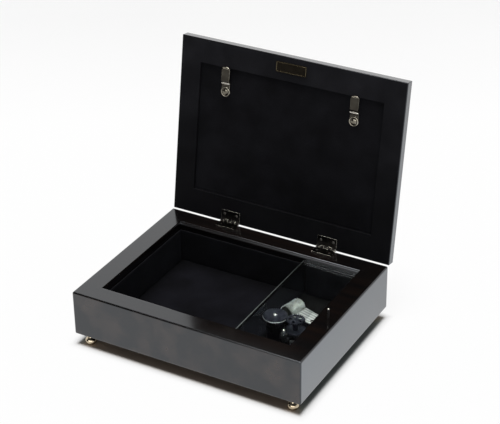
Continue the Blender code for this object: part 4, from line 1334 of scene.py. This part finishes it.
@dataclass
class Lid:
    """Picture frame lid: lacquered outside, flocked inside, with glass, card, panel, clips and bare plate."""

    width: float = WIDTH
    depth: float = DEPTH
    under: float = 1.0 * MM
    thick: float = 7.2 * MM
    behind: float = HINGE_BACK
    edge: float = 0.5 * MM
    reach: float = 1.4 * MM
    recess_width: float = 155.4 * MM
    recess_depth: float = 104.4 * MM
    soft: float = 0.35 * MM
    ease: float = 0.5 * MM
    lip: float = 5.0 * MM
    lip_thick: float = 1.3 * MM
    pane_play: float = 0.3 * MM
    pane_thick: float = 1.5 * MM
    clip_x: float = 54.7 * MM
    clip_y: float = -104.65 * MM
    clip_face: float = 1.5 * MM
    clip_edge: float = 0.14 * MM
    # Bright wire loops on the clip: the rolled eye and curled tip are its own, drawn bright as painted
    # highlights; the step rib stands for the highlight on its bend
    loops: tuple[Loop, ...] = (
        Loop("rolled_eye", 0.0, 1.5 * MM, 3.4 * MM, 3.4 * MM, 0.45 * MM, 48, Finishes.clip_rim_highlight),
        Loop("curled_tip", 19.3 * MM, 0.1 * MM, 2.4 * MM, 0.45 * MM, 0.4 * MM, 28, Finishes.clip_rim_highlight),
        Loop("step_highlight_rib", 7.0 * MM, 0.8 * MM, 3.3 * MM, 0.35 * MM, 0.45 * MM, 28, Finishes.clip_step_highlight),
    )
    dome: tuple[float, float] = (2.3 * MM, 0.95 * MM)
    dome_lift: float = 0.3 * MM
    plate_low: Point = (-12.4 * MM, -138.2 * MM, 0.7 * MM)
    plate_high: Point = (13.1 * MM, -130.2 * MM, 1.1 * MM)
    plate_edge: float = 0.12 * MM
    rim_inset: float = 0.45 * MM
    rim_wire: float = 0.22 * MM

    def moulding(self) -> np.ndarray:
        """The lid rail's outline, flocked from its inner face to the window's edge and lacquered elsewhere.

        Returns:
            The outline, as framed() takes it.
        """
        low, top, e, soft, ease = self.under, self.under + self.thick, self.edge, self.soft, self.ease
        rail_x = (self.width - self.recess_width) / 2
        rail_y = (self.depth - self.recess_depth) / 2
        under = arc((e, low + e), e, 180, 270)
        bend = arc((-soft, low + soft), soft, 270, 360)
        shelf = np.array([[0.0, top - self.lip_thick], [self.lip, top - self.lip_thick]])
        window = arc((self.lip - ease, top - ease), ease, 0, 90)
        inner = np.concatenate([bend, shelf, window])
        over = arc((e, top - e), e, 90, 180)
        inset = np.concatenate([under[:, 0], rail_x + inner[:, 0], over[:, 0]])
        more = np.repeat([0, rail_y - rail_x, 0], [len(under), len(inner), len(over)])
        height = np.concatenate([under[:, 1], inner[:, 1], over[:, 1]])
        flocked = np.zeros(len(inset))
        flocked[len(under) - 1 : len(under) + len(bend) + 1] = 1
        return np.stack([inset, inset + more, height, flocked], -1)

    def build(self) -> None:
        """Build the lid in its closed frame, turned open."""
        middle = -self.behind - self.depth / 2
        half = (self.width / 2, self.depth / 2)
        rails = framed("lid_rails", half, (0, middle), self.moulding(), self.edge, LID, reach=self.reach)
        dress(rails, "lid", "satin_black", Finishes.lacquer, Finishes.flock, stands_for=("lid_frame",))
        half_x = self.recess_width / 2 - self.pane_play
        half_y = self.recess_depth / 2 - self.pane_play
        pane_top = self.under + self.thick - self.lip_thick - self.pane_play
        low = np.array([-half_x, middle - half_y, pane_top - self.pane_thick])
        high = np.array([half_x, middle + half_y, pane_top])
        Linings().pane("picture_glass", "lid", low, high, LID)
        refined("picture_insert", "card", Finishes.card)
        refined("lid_back_panel", "velvet", Finishes.velvet)
        for side, x in (("left", -self.clip_x), ("right", self.clip_x)):
            self.clip(side, x)
        self.bare_plate()

    def clip(self, side: str, x: float) -> None:
        """A turn clip with a rolled eye, a curled tip and a step rib, drawn bright as painted highlights,
        held by a domed rivet screw drawn dark as painted reflection.

        Args:
            side: Which clip it is, as its names say it.
            x: Where its pivot lies along the rail.
        """
        node = f"turn_clip_{side}"
        refined(node, "nickel", Finishes.clip_plate, self.clip_edge, edge_highlight=Finishes.clip_rim_highlight)
        for loop in self.loops:
            middle = (x, self.clip_y - loop.ahead, loop.face)
            path = oval(middle, loop.across, loop.along, loop.points)
            wire = bead(f"clip_{side}_{loop.name}", path, loop.wire, (0, 0, 1), LID)
            dress(wire, f"clip_{side}", "nickel", loop.finish)
        refined(f"clip_screw_{side}", "nickel", Finishes.clip_dome)
        dome = np.array(self.dome) * np.concatenate([[[0.0, 0.0], [1.0, 0.0]], arc((0, 0), 1.0, 0, 90, 10)])
        profile = np.stack([dome[:, 0], self.clip_face - self.dome_lift - dome[:, 1]], -1)
        head = turned(f"clip_{side}_rivet_dome", profile, (x, self.clip_y, 0), LID, 40)
        dress(head, "lid", "nickel", Finishes.clip_dome)

    def bare_plate(self) -> None:
        """The small plate on the rail, bare, drawn dark as painted reflection, with a thin rim drawn bright
        as a painted highlight.
        """
        low, high = self.plate_low, self.plate_high
        plate = block("rail_plate", low, high, self.plate_edge, LID, sharp=5.0)
        dress(plate, "lid", "pale_gold", Finishes.plate_face)
        corners = np.array([low[:2], (high[0], low[1]), high[:2], (low[0], high[1])])
        share = np.linspace(0, 1, 12, endpoint=False)[None, :, None]
        inner = corners + np.sign(corners.mean(0) - corners) * self.rim_inset
        path = (inner[:, None] * (1 - share) + np.roll(inner, -1, 0)[:, None] * share).reshape(-1, 2)
        path = np.concatenate([path, np.full((len(path), 1), low[2])], 1)
        rim = bead("rail_plate_rim", path, self.rim_wire, (0, 0, 1), LID)
        dress(rim, "lid", "pale_gold", Finishes.plate_rim_highlight)


@dataclass
class Movement:
    """Clockwork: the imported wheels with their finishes, a smooth pinned cylinder and small fasteners."""

    cylinder_radius: float = 5.5 * MM
    cylinder_front: float = 12.0 * MM
    cylinder_length: float = 15.0 * MM
    cylinder_height: float = -15.971 * MM
    cylinder_edge: float = 0.15 * MM
    bore: float = 1.2 * MM
    pin_root: float = 0.1 * MM
    pin_height: float = 0.6 * MM
    pin_radius: float = 0.18 * MM
    tracks: int = 36
    pins_a_track: int = 7
    comb_top: float = -15.571 * MM
    comb_screw_x: float = 21.1 * MM
    comb_screw_shares: tuple[float, float] = (0.3, 0.7)
    comb_screw: tuple[float, float] = (1.7 * MM, 0.7 * MM)
    rim_inset: float = 0.1 * MM
    rim_below: float = 0.9 * MM
    rim_wire: float = 0.16 * MM
    pin_cap: tuple[tuple[float, float], ...] = (
        (0.0, -0.25 * MM),
        (0.75 * MM, -0.25 * MM),
        (0.78 * MM, -0.1 * MM),
        (0.62 * MM, 0.2 * MM),
        (0.35 * MM, 0.34 * MM),
        (0.0, 0.38 * MM),
    )
    eased_wheels: tuple[str, ...] = ("great_wheel", "idler_wheel")
    ease_share: float = 0.994
    seed: int = 7
    plain: dict[str, tuple[str, Finish, float]] = field(
        default_factory=lambda: {
            "movement_bed": ("dark_polish", Finishes.bed_plate, 0.1 * MM),
            "barrel_drum": ("nickel", Finishes.bed_plate, 0.1 * MM),
            "great_wheel": ("dark_polish", Finishes.wheel_plate, 0.05 * MM),
            "mainspring": ("tempered_steel", Finishes.steel, 0.0),
            "winding_arbor": ("tempered_steel", Finishes.steel, 0.05 * MM),
            "arbor_screw": ("nickel", Finishes.nickel, 0.0),
            "winding_key": ("nickel", Finishes.nickel, 0.05 * MM),
            "cylinder_arbor": ("brass", Finishes.brass, 0.04 * MM),
            "comb": ("tempered_steel", Finishes.comb_steel, 0.03 * MM),
            "idler_wheel": ("dark_polish", Finishes.wheel_plate, 0.05 * MM),
            "idler_stud": ("nickel", Finishes.wheel_plate, 0.0),
            "governor_spindle": ("tempered_steel", Finishes.steel, 0.03 * MM),
            "governor_fan": ("black_fan", Finishes.fan, 0.05 * MM),
            "governor_bracket": ("nickel", Finishes.cast_nickel, 0.14 * MM),
            "governor_bearing_cap": ("nickel", Finishes.nickel, 0.0),
            "lever_yoke": ("nickel", Finishes.nickel, 0.06 * MM),
            "stop_lever": ("tempered_steel", Finishes.steel, 0.06 * MM),
            "stop_pin": ("nickel", Finishes.dark_shaft, 0.0),
        }
    )

    def build(self) -> None:
        """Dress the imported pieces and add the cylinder, its pins and the screws."""
        for node, (slot, finish, bevel) in self.plain.items():
            rim = Finishes.wheel_edge_highlight if finish is Finishes.wheel_plate else None
            piece = refined(node, slot, finish, bevel, edge_highlight=rim)
            if node in self.eased_wheels:
                self.ease(piece)
        self.cylinder()
        # Painted highlight: a bright bead round the great wheel's rim
        low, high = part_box("great_wheel")
        radius = (high.x - low.x) / 2 - self.rim_inset
        middle = ((low.x + high.x) / 2, (low.y + high.y) / 2, high.z - self.rim_below)
        rim = bead("great_wheel_rim", oval(middle, radius, radius, 72), self.rim_wire, (0, 0, 1))
        dress(rim, "barrel", "dark_polish", Finishes.wheel_rim)
        low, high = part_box("stop_pin")
        middle = ((low.x + high.x) / 2, (low.y + high.y) / 2, high.z)
        tip = turned("stop_pin_tip", rounded_off(np.array(self.pin_cap), 1), middle, sides=32)
        dress(tip, "stop_pin", "nickel", Finishes.nickel)
        for number, share in enumerate(self.comb_screw_shares):
            spot = (self.comb_screw_x, self.cylinder_front + share * self.cylinder_length, self.comb_top)
            head = screw_head(f"comb_screw_{number}", spot, *self.comb_screw, 0.5 + number, MOVEMENT)
            dress(head, "case", "nickel", Finishes.nickel)

    def ease(self, piece: bpy.types.Object) -> None:
        """Draw an upright wheel in about its axis, so that its teeth clear the next wheel's at every turn.

        Args:
            piece: The wheel; the middle of its points in x and y is its axis.
        """
        points = np.empty(len(piece.data.vertices) * 3)
        piece.data.vertices.foreach_get("co", points)
        flat = points.reshape(-1, 3)[:, :2]
        middle = (flat.min(axis=0) + flat.max(axis=0)) / 2
        flat[:] = middle + (flat - middle) * self.ease_share
        piece.data.vertices.foreach_set("co", points)

    def cylinder(self) -> None:
        """The cylinder's drum, and its pins set along the tracks by a seeded pattern of turns."""
        r, front, length = self.cylinder_radius, self.cylinder_front, self.cylinder_length
        e, back = self.cylinder_edge, front + length
        outline = [[self.bore, front], [r - e, front], [r, front + e], [r, back - e]]
        outline += [[r - e, back], [self.bore, back], [self.bore, front]]
        drum = turned("cylinder_drum", np.array(outline), (0, 0, self.cylinder_height), MOVEMENT, 96, axis=1)
        dress(drum, "cylinder", "nickel", Finishes.cylinder_plate, stands_for=("pin_cylinder",))
        random = np.random.default_rng(self.seed)
        track = np.repeat(np.arange(self.tracks), self.pins_a_track)
        angle = random.uniform(0, TAU, track.size)
        along = front + (track + 0.5) * length / self.tracks
        corner = np.linspace(0, TAU, 6, endpoint=False)
        level = np.array([-self.pin_root, self.pin_height])
        side = self.pin_radius * np.cos(corner)
        depth = self.pin_radius * np.sin(corner)
        radius = (r + level)[None, :, None]
        turn = angle[:, None, None] + side[None, None, :] / radius
        x = radius * np.sin(turn)
        z = self.cylinder_height + radius * np.cos(turn)
        y = along[:, None, None] + depth[None, None, :] + 0 * radius
        grids = [np.stack([x[i], y[i], z[i]], -1) for i in range(track.size)]
        pins = skin("cylinder_pins", grids, (False, True), MOVEMENT)
        dress(pins, "cylinder", "nickel", Finishes.wheel_rim)


@dataclass
class Floor:
    """A white sweep that keeps the box's shadow.

    To the camera and in mirrors it is mostly white by itself. Under the box it is paper with a painted shadow
    tint, which only the lamps light.
    """

    height: float = -9.52 * MM
    size: float = 6.0
    points: int = 9
    # Over the distance past a rectangle the size of the case: how white the floor is by itself, and where the
    # tint of the shadow ends. The third tells the shadow beside the case from the one before and behind it.
    own_white: Span = Span(-2.0 * MM, 5.0 * MM, 0.0, 0.88)
    clear_of_case: Span = Span(-4.0 * MM, 1.0 * MM, 0.0, 1.0)
    right_of_case: Span = Span(-6.0 * MM, 6.0 * MM, 0.0, 1.0)
    paper: tuple[Colour, Colour] = ((0.93, 0.93, 0.93), (0.95, 0.95, 0.95))
    shadow_tints: tuple[Colour, Colour] = ((0.58, 0.47, 0.38), (0.42, 0.47, 0.46))
    # As mirrors see it: over Y behind and beside the case, and over the distance before its front
    behind: Span = Span(0.24, 0.46, 1.0, 0.45)
    beside: Span = Span(-0.04, 0.12, 1.0, 0.64)
    before: Span = Span(12.0 * MM, 45.0 * MM, 0.62, 1.0)
    not_before: Span = Span(0.0, MM, 1.0, 0.0)
    # Over the distance along the camera's line of sight
    sight: Point = (-0.4916, 0.8708, 0.0)
    far_off: Span = Span(0.36, 0.62, 1.0, 0.0)
    # In mirrors to the right of the case, over X, with a glow over Y
    at_right: Span = Span(0.08, 0.12, 0.0, 1.0)
    right_hue: Colour = (0.90, 0.95, 1.0)
    right_glow: Span = Span(-0.04, 0.12, 0.20, -0.08)

    def build(self) -> None:
        """Lay the sheet and give it its paper."""
        line = np.linspace(-self.size / 2, self.size / 2, self.points)
        x, y = np.meshgrid(line, line, indexing="ij")
        index = np.arange(self.points**2).reshape(x.shape)
        quads = np.stack([index[:-1, :-1], index[1:, :-1], index[1:, 1:], index[:-1, 1:]], -1)
        points = np.stack([x, y, np.full_like(x, self.height)], -1)
        mesh = bpy.data.meshes.new("studio_floor")
        mesh.from_pydata(points.reshape(-1, 3).tolist(), [], quads.reshape(-1, 4).tolist())
        obj = show("studio_floor", mesh)
        obj.data.materials.append(self.material())

    def material(self) -> bpy.types.Material:
        """Paper with a painted shadow tint under the box, mixed with its own white by the share that share()
        gives.

        Returns:
            The floor's material.
        """
        made = bpy.data.materials.new("studio_paper")
        made.use_nodes = True
        graph, shader = Graph(made.node_tree), made.node_tree.nodes["Principled BSDF"]
        place = graph.add("TexCoord").outputs["Object"]
        axes, rays = graph.axes(place), graph.add("LightPath").outputs
        past_x = graph.math("SUBTRACT", graph.math("ABSOLUTE", axes["X"], 0.0), WIDTH / 2)
        past_y = graph.math("SUBTRACT", graph.math("ABSOLUTE", axes["Y"], 0.0), DEPTH / 2)
        past = graph.math("MAXIMUM", past_x, past_y)
        grain = graph.ramp(graph.noise(place, 3.0, 2.0), 0.3, 0.7)
        paper = graph.mix(grain, *map(rgba, self.paper))
        to_right = graph.span(graph.math("SUBTRACT", past_x, past_y), self.right_of_case)
        tint = graph.mix(to_right, *map(rgba, self.shadow_tints))
        graph.feed(shader, {
            "Base Color": graph.mix(graph.span(past, self.clear_of_case), tint, paper),
            "Roughness": 0.9,
            "Specular IOR Level": 0.1,
        })
        right = graph.product(rays["Is Glossy Ray"], graph.span(axes["X"], self.at_right))
        glow = graph.product(right, graph.span(axes["Y"], self.right_glow))
        white = graph.add("Emission", {
            "Color": graph.mix(right, rgba((1.0, 1.0, 1.0)), rgba(self.right_hue)),
            "Strength": graph.math("ADD", glow, 1.0),
        })
        share = graph.product(graph.span(past, self.own_white), self.share(graph, place, rays))
        both = graph.add("MixShader", {0: share, 1: shader.outputs[0], 2: white.outputs[0]})
        graph.feed(made.node_tree.nodes["Material Output"], {"Surface": both.outputs[0]})
        return made

    def share(self, graph: Graph, place: Socket, rays: bpy.types.NodeOutputs) -> Socket:
        """How far the open floor is white by itself.

        Only what is seen by the camera, in a mirror or through glass is so. Mirrors see it weaker close
        before the case, beside it and behind it. Far off it is plain paper for all of them.

        Args:
            graph: The floor's graph.
            place: The point on the floor.
            rays: What kind of ray sees it.

        Returns:
            The share.
        """
        axes = graph.axes(place)
        seen = graph.math("MAXIMUM", rays["Is Camera Ray"], rays["Is Glossy Ray"])
        seen = graph.math("MAXIMUM", seen, rays["Is Transmission Ray"])
        before = graph.math("SUBTRACT", -DEPTH / 2, axes["Y"])
        close = graph.math("MAXIMUM", graph.span(before, self.before), graph.span(before, self.not_before))
        level = graph.product(graph.span(axes["Y"], self.behind), close, graph.span(axes["Y"], self.beside))
        mirrored = graph.choose(rays["Is Glossy Ray"], 1.0, level)
        near = graph.span(graph.toward(place, self.sight), self.far_off)
        return graph.product(seen, mirrored, near)


@dataclass
class Lights:
    """One soft lamp from above and a weak even sky; mirrors see a sky of their own.

    The spans of the mirrored sky are over the parts X, Y and Z of the direction in which it is seen.
    """

    lamp: float = 2.65
    lamp_size: float = math.radians(26.0)
    lamp_turn: Point = (math.radians(3.0), math.radians(2.0), 0.0)
    sky: float = 0.16
    background: float = 0.98
    low_sky: Span = Span(0.10, 0.55, 1.0, 0.88)
    dark_top: Span = Span(0.60, 0.78, 1.0, 0.05)
    dark_left: Span = Span(-0.435, -0.365, 0.95, 0.0)
    dark_front: Span = Span(-0.35, -0.10, 1.0, 0.0)
    patch: Span = Span(-0.43, -0.35, 0.0, 2.6)
    patch_front: Span = Span(-0.60, -0.45, 1.0, 0.0)
    patch_height: Span = Span(0.28, 0.40, 0.0, 1.0)
    panel_way: Point = (-0.340, 0.100, 0.935)
    panel: Span = Span(0.985, 0.993, 0.0, 8.0)
    panel_left: Span = Span(-0.425, -0.385, 0.0, 1.0)

    def build(self) -> None:
        """Hang the lamp and fill the sky."""
        lamp = bpy.data.lights.new("soft_overhead", "SUN")
        lamp.energy = self.lamp
        lamp.angle = self.lamp_size
        obj = bpy.data.objects.new("soft_overhead", lamp)
        obj.rotation_euler = self.lamp_turn
        bpy.context.scene.collection.objects.link(obj)
        world = bpy.data.worlds.new("studio_sky")
        world.use_nodes = True
        graph = Graph(world.node_tree)
        way, rays = graph.add("TexCoord").outputs["Generated"], graph.add("LightPath").outputs
        shiny = graph.math("MAXIMUM", rays["Is Glossy Ray"], rays["Is Transmission Ray"])
        level = graph.choose(shiny, self.sky, self.mirrored(graph, way, rays["Is Glossy Ray"]))
        level = graph.choose(rays["Is Camera Ray"], level, self.background)
        graph.feed(world.node_tree.nodes["Background"], {"Color": rgba((1.0, 1.0, 1.0)), "Strength": level})
        bpy.context.scene.world = world

    def mirrored(self, graph: Graph, way: Socket, glossy: Socket) -> Socket:
        """The sky in mirrors: pale low down, dark overhead and at the front left, with two bright places.

        Args:
            graph: The sky's graph.
            way: The direction in which the sky is seen.
            glossy: Whether a glossy ray sees it; only such a ray sees the panel.

        Returns:
            The sky's strength.
        """
        x, y, z = graph.axes(way)
        corner = graph.product(graph.span(x, self.dark_left), graph.span(y, self.dark_front))
        open_sky = graph.math("SUBTRACT", 1.0, corner)
        base = graph.product(graph.span(z, self.low_sky), graph.span(z, self.dark_top), open_sky)
        front = graph.product(graph.span(y, self.patch_front), graph.span(z, self.patch_height))
        patch = graph.product(graph.span(x, self.patch), front)
        panel = graph.span(graph.toward(way, self.panel_way), self.panel)
        panel = graph.product(panel, glossy, graph.span(x, self.panel_left))
        return graph.math("ADD", graph.product(base, graph.math("ADD", patch, 1.0)), panel)


@dataclass
class Camera:
    """The photograph's view."""

    eye: Point = (0.502836, -0.862090, 0.665060)
    down: float = math.radians(29.788)
    round_way: float = math.radians(29.442)
    roll: float = math.radians(-0.695)
    lens: float = 113.945
    sensor: float = 36.0
    nearest: float = 0.05

    def build(self) -> None:
        """Set the camera, turned to the photograph's direction, tilt and slight roll."""
        data = bpy.data.cameras.new("photo_camera")
        data.lens = self.lens
        data.sensor_width = self.sensor
        data.clip_start = self.nearest
        obj = bpy.data.objects.new("photo_camera", data)
        obj.rotation_mode = "XYZ"
        # A roll about the line of sight comes before the tilt and the turn, so it is the innermost rotation.
        aim = Euler((math.pi / 2 - self.down, 0, self.round_way)).to_matrix().to_4x4()
        obj.matrix_world = Matrix.Translation(self.eye) @ aim @ Matrix.Rotation(self.roll, 4, "Z")
        bpy.context.scene.collection.objects.link(obj)
        bpy.context.scene.camera = obj
        bpy.context.scene.view_settings.view_transform = "Standard"


def main() -> None:
    """Build every sub-assembly and report it."""
    logging.basicConfig(level=logging.INFO, format="%(message)s")
    for part in (Case(), Linings(), Hinges(), Lid(), Movement(), Floor(), Lights(), Camera()):
        before = len(bpy.data.objects)
        part.build()
        log.info("%s: %d pieces", type(part).__name__, len(bpy.data.objects) - before)


if __name__ == "__main__":
    main()
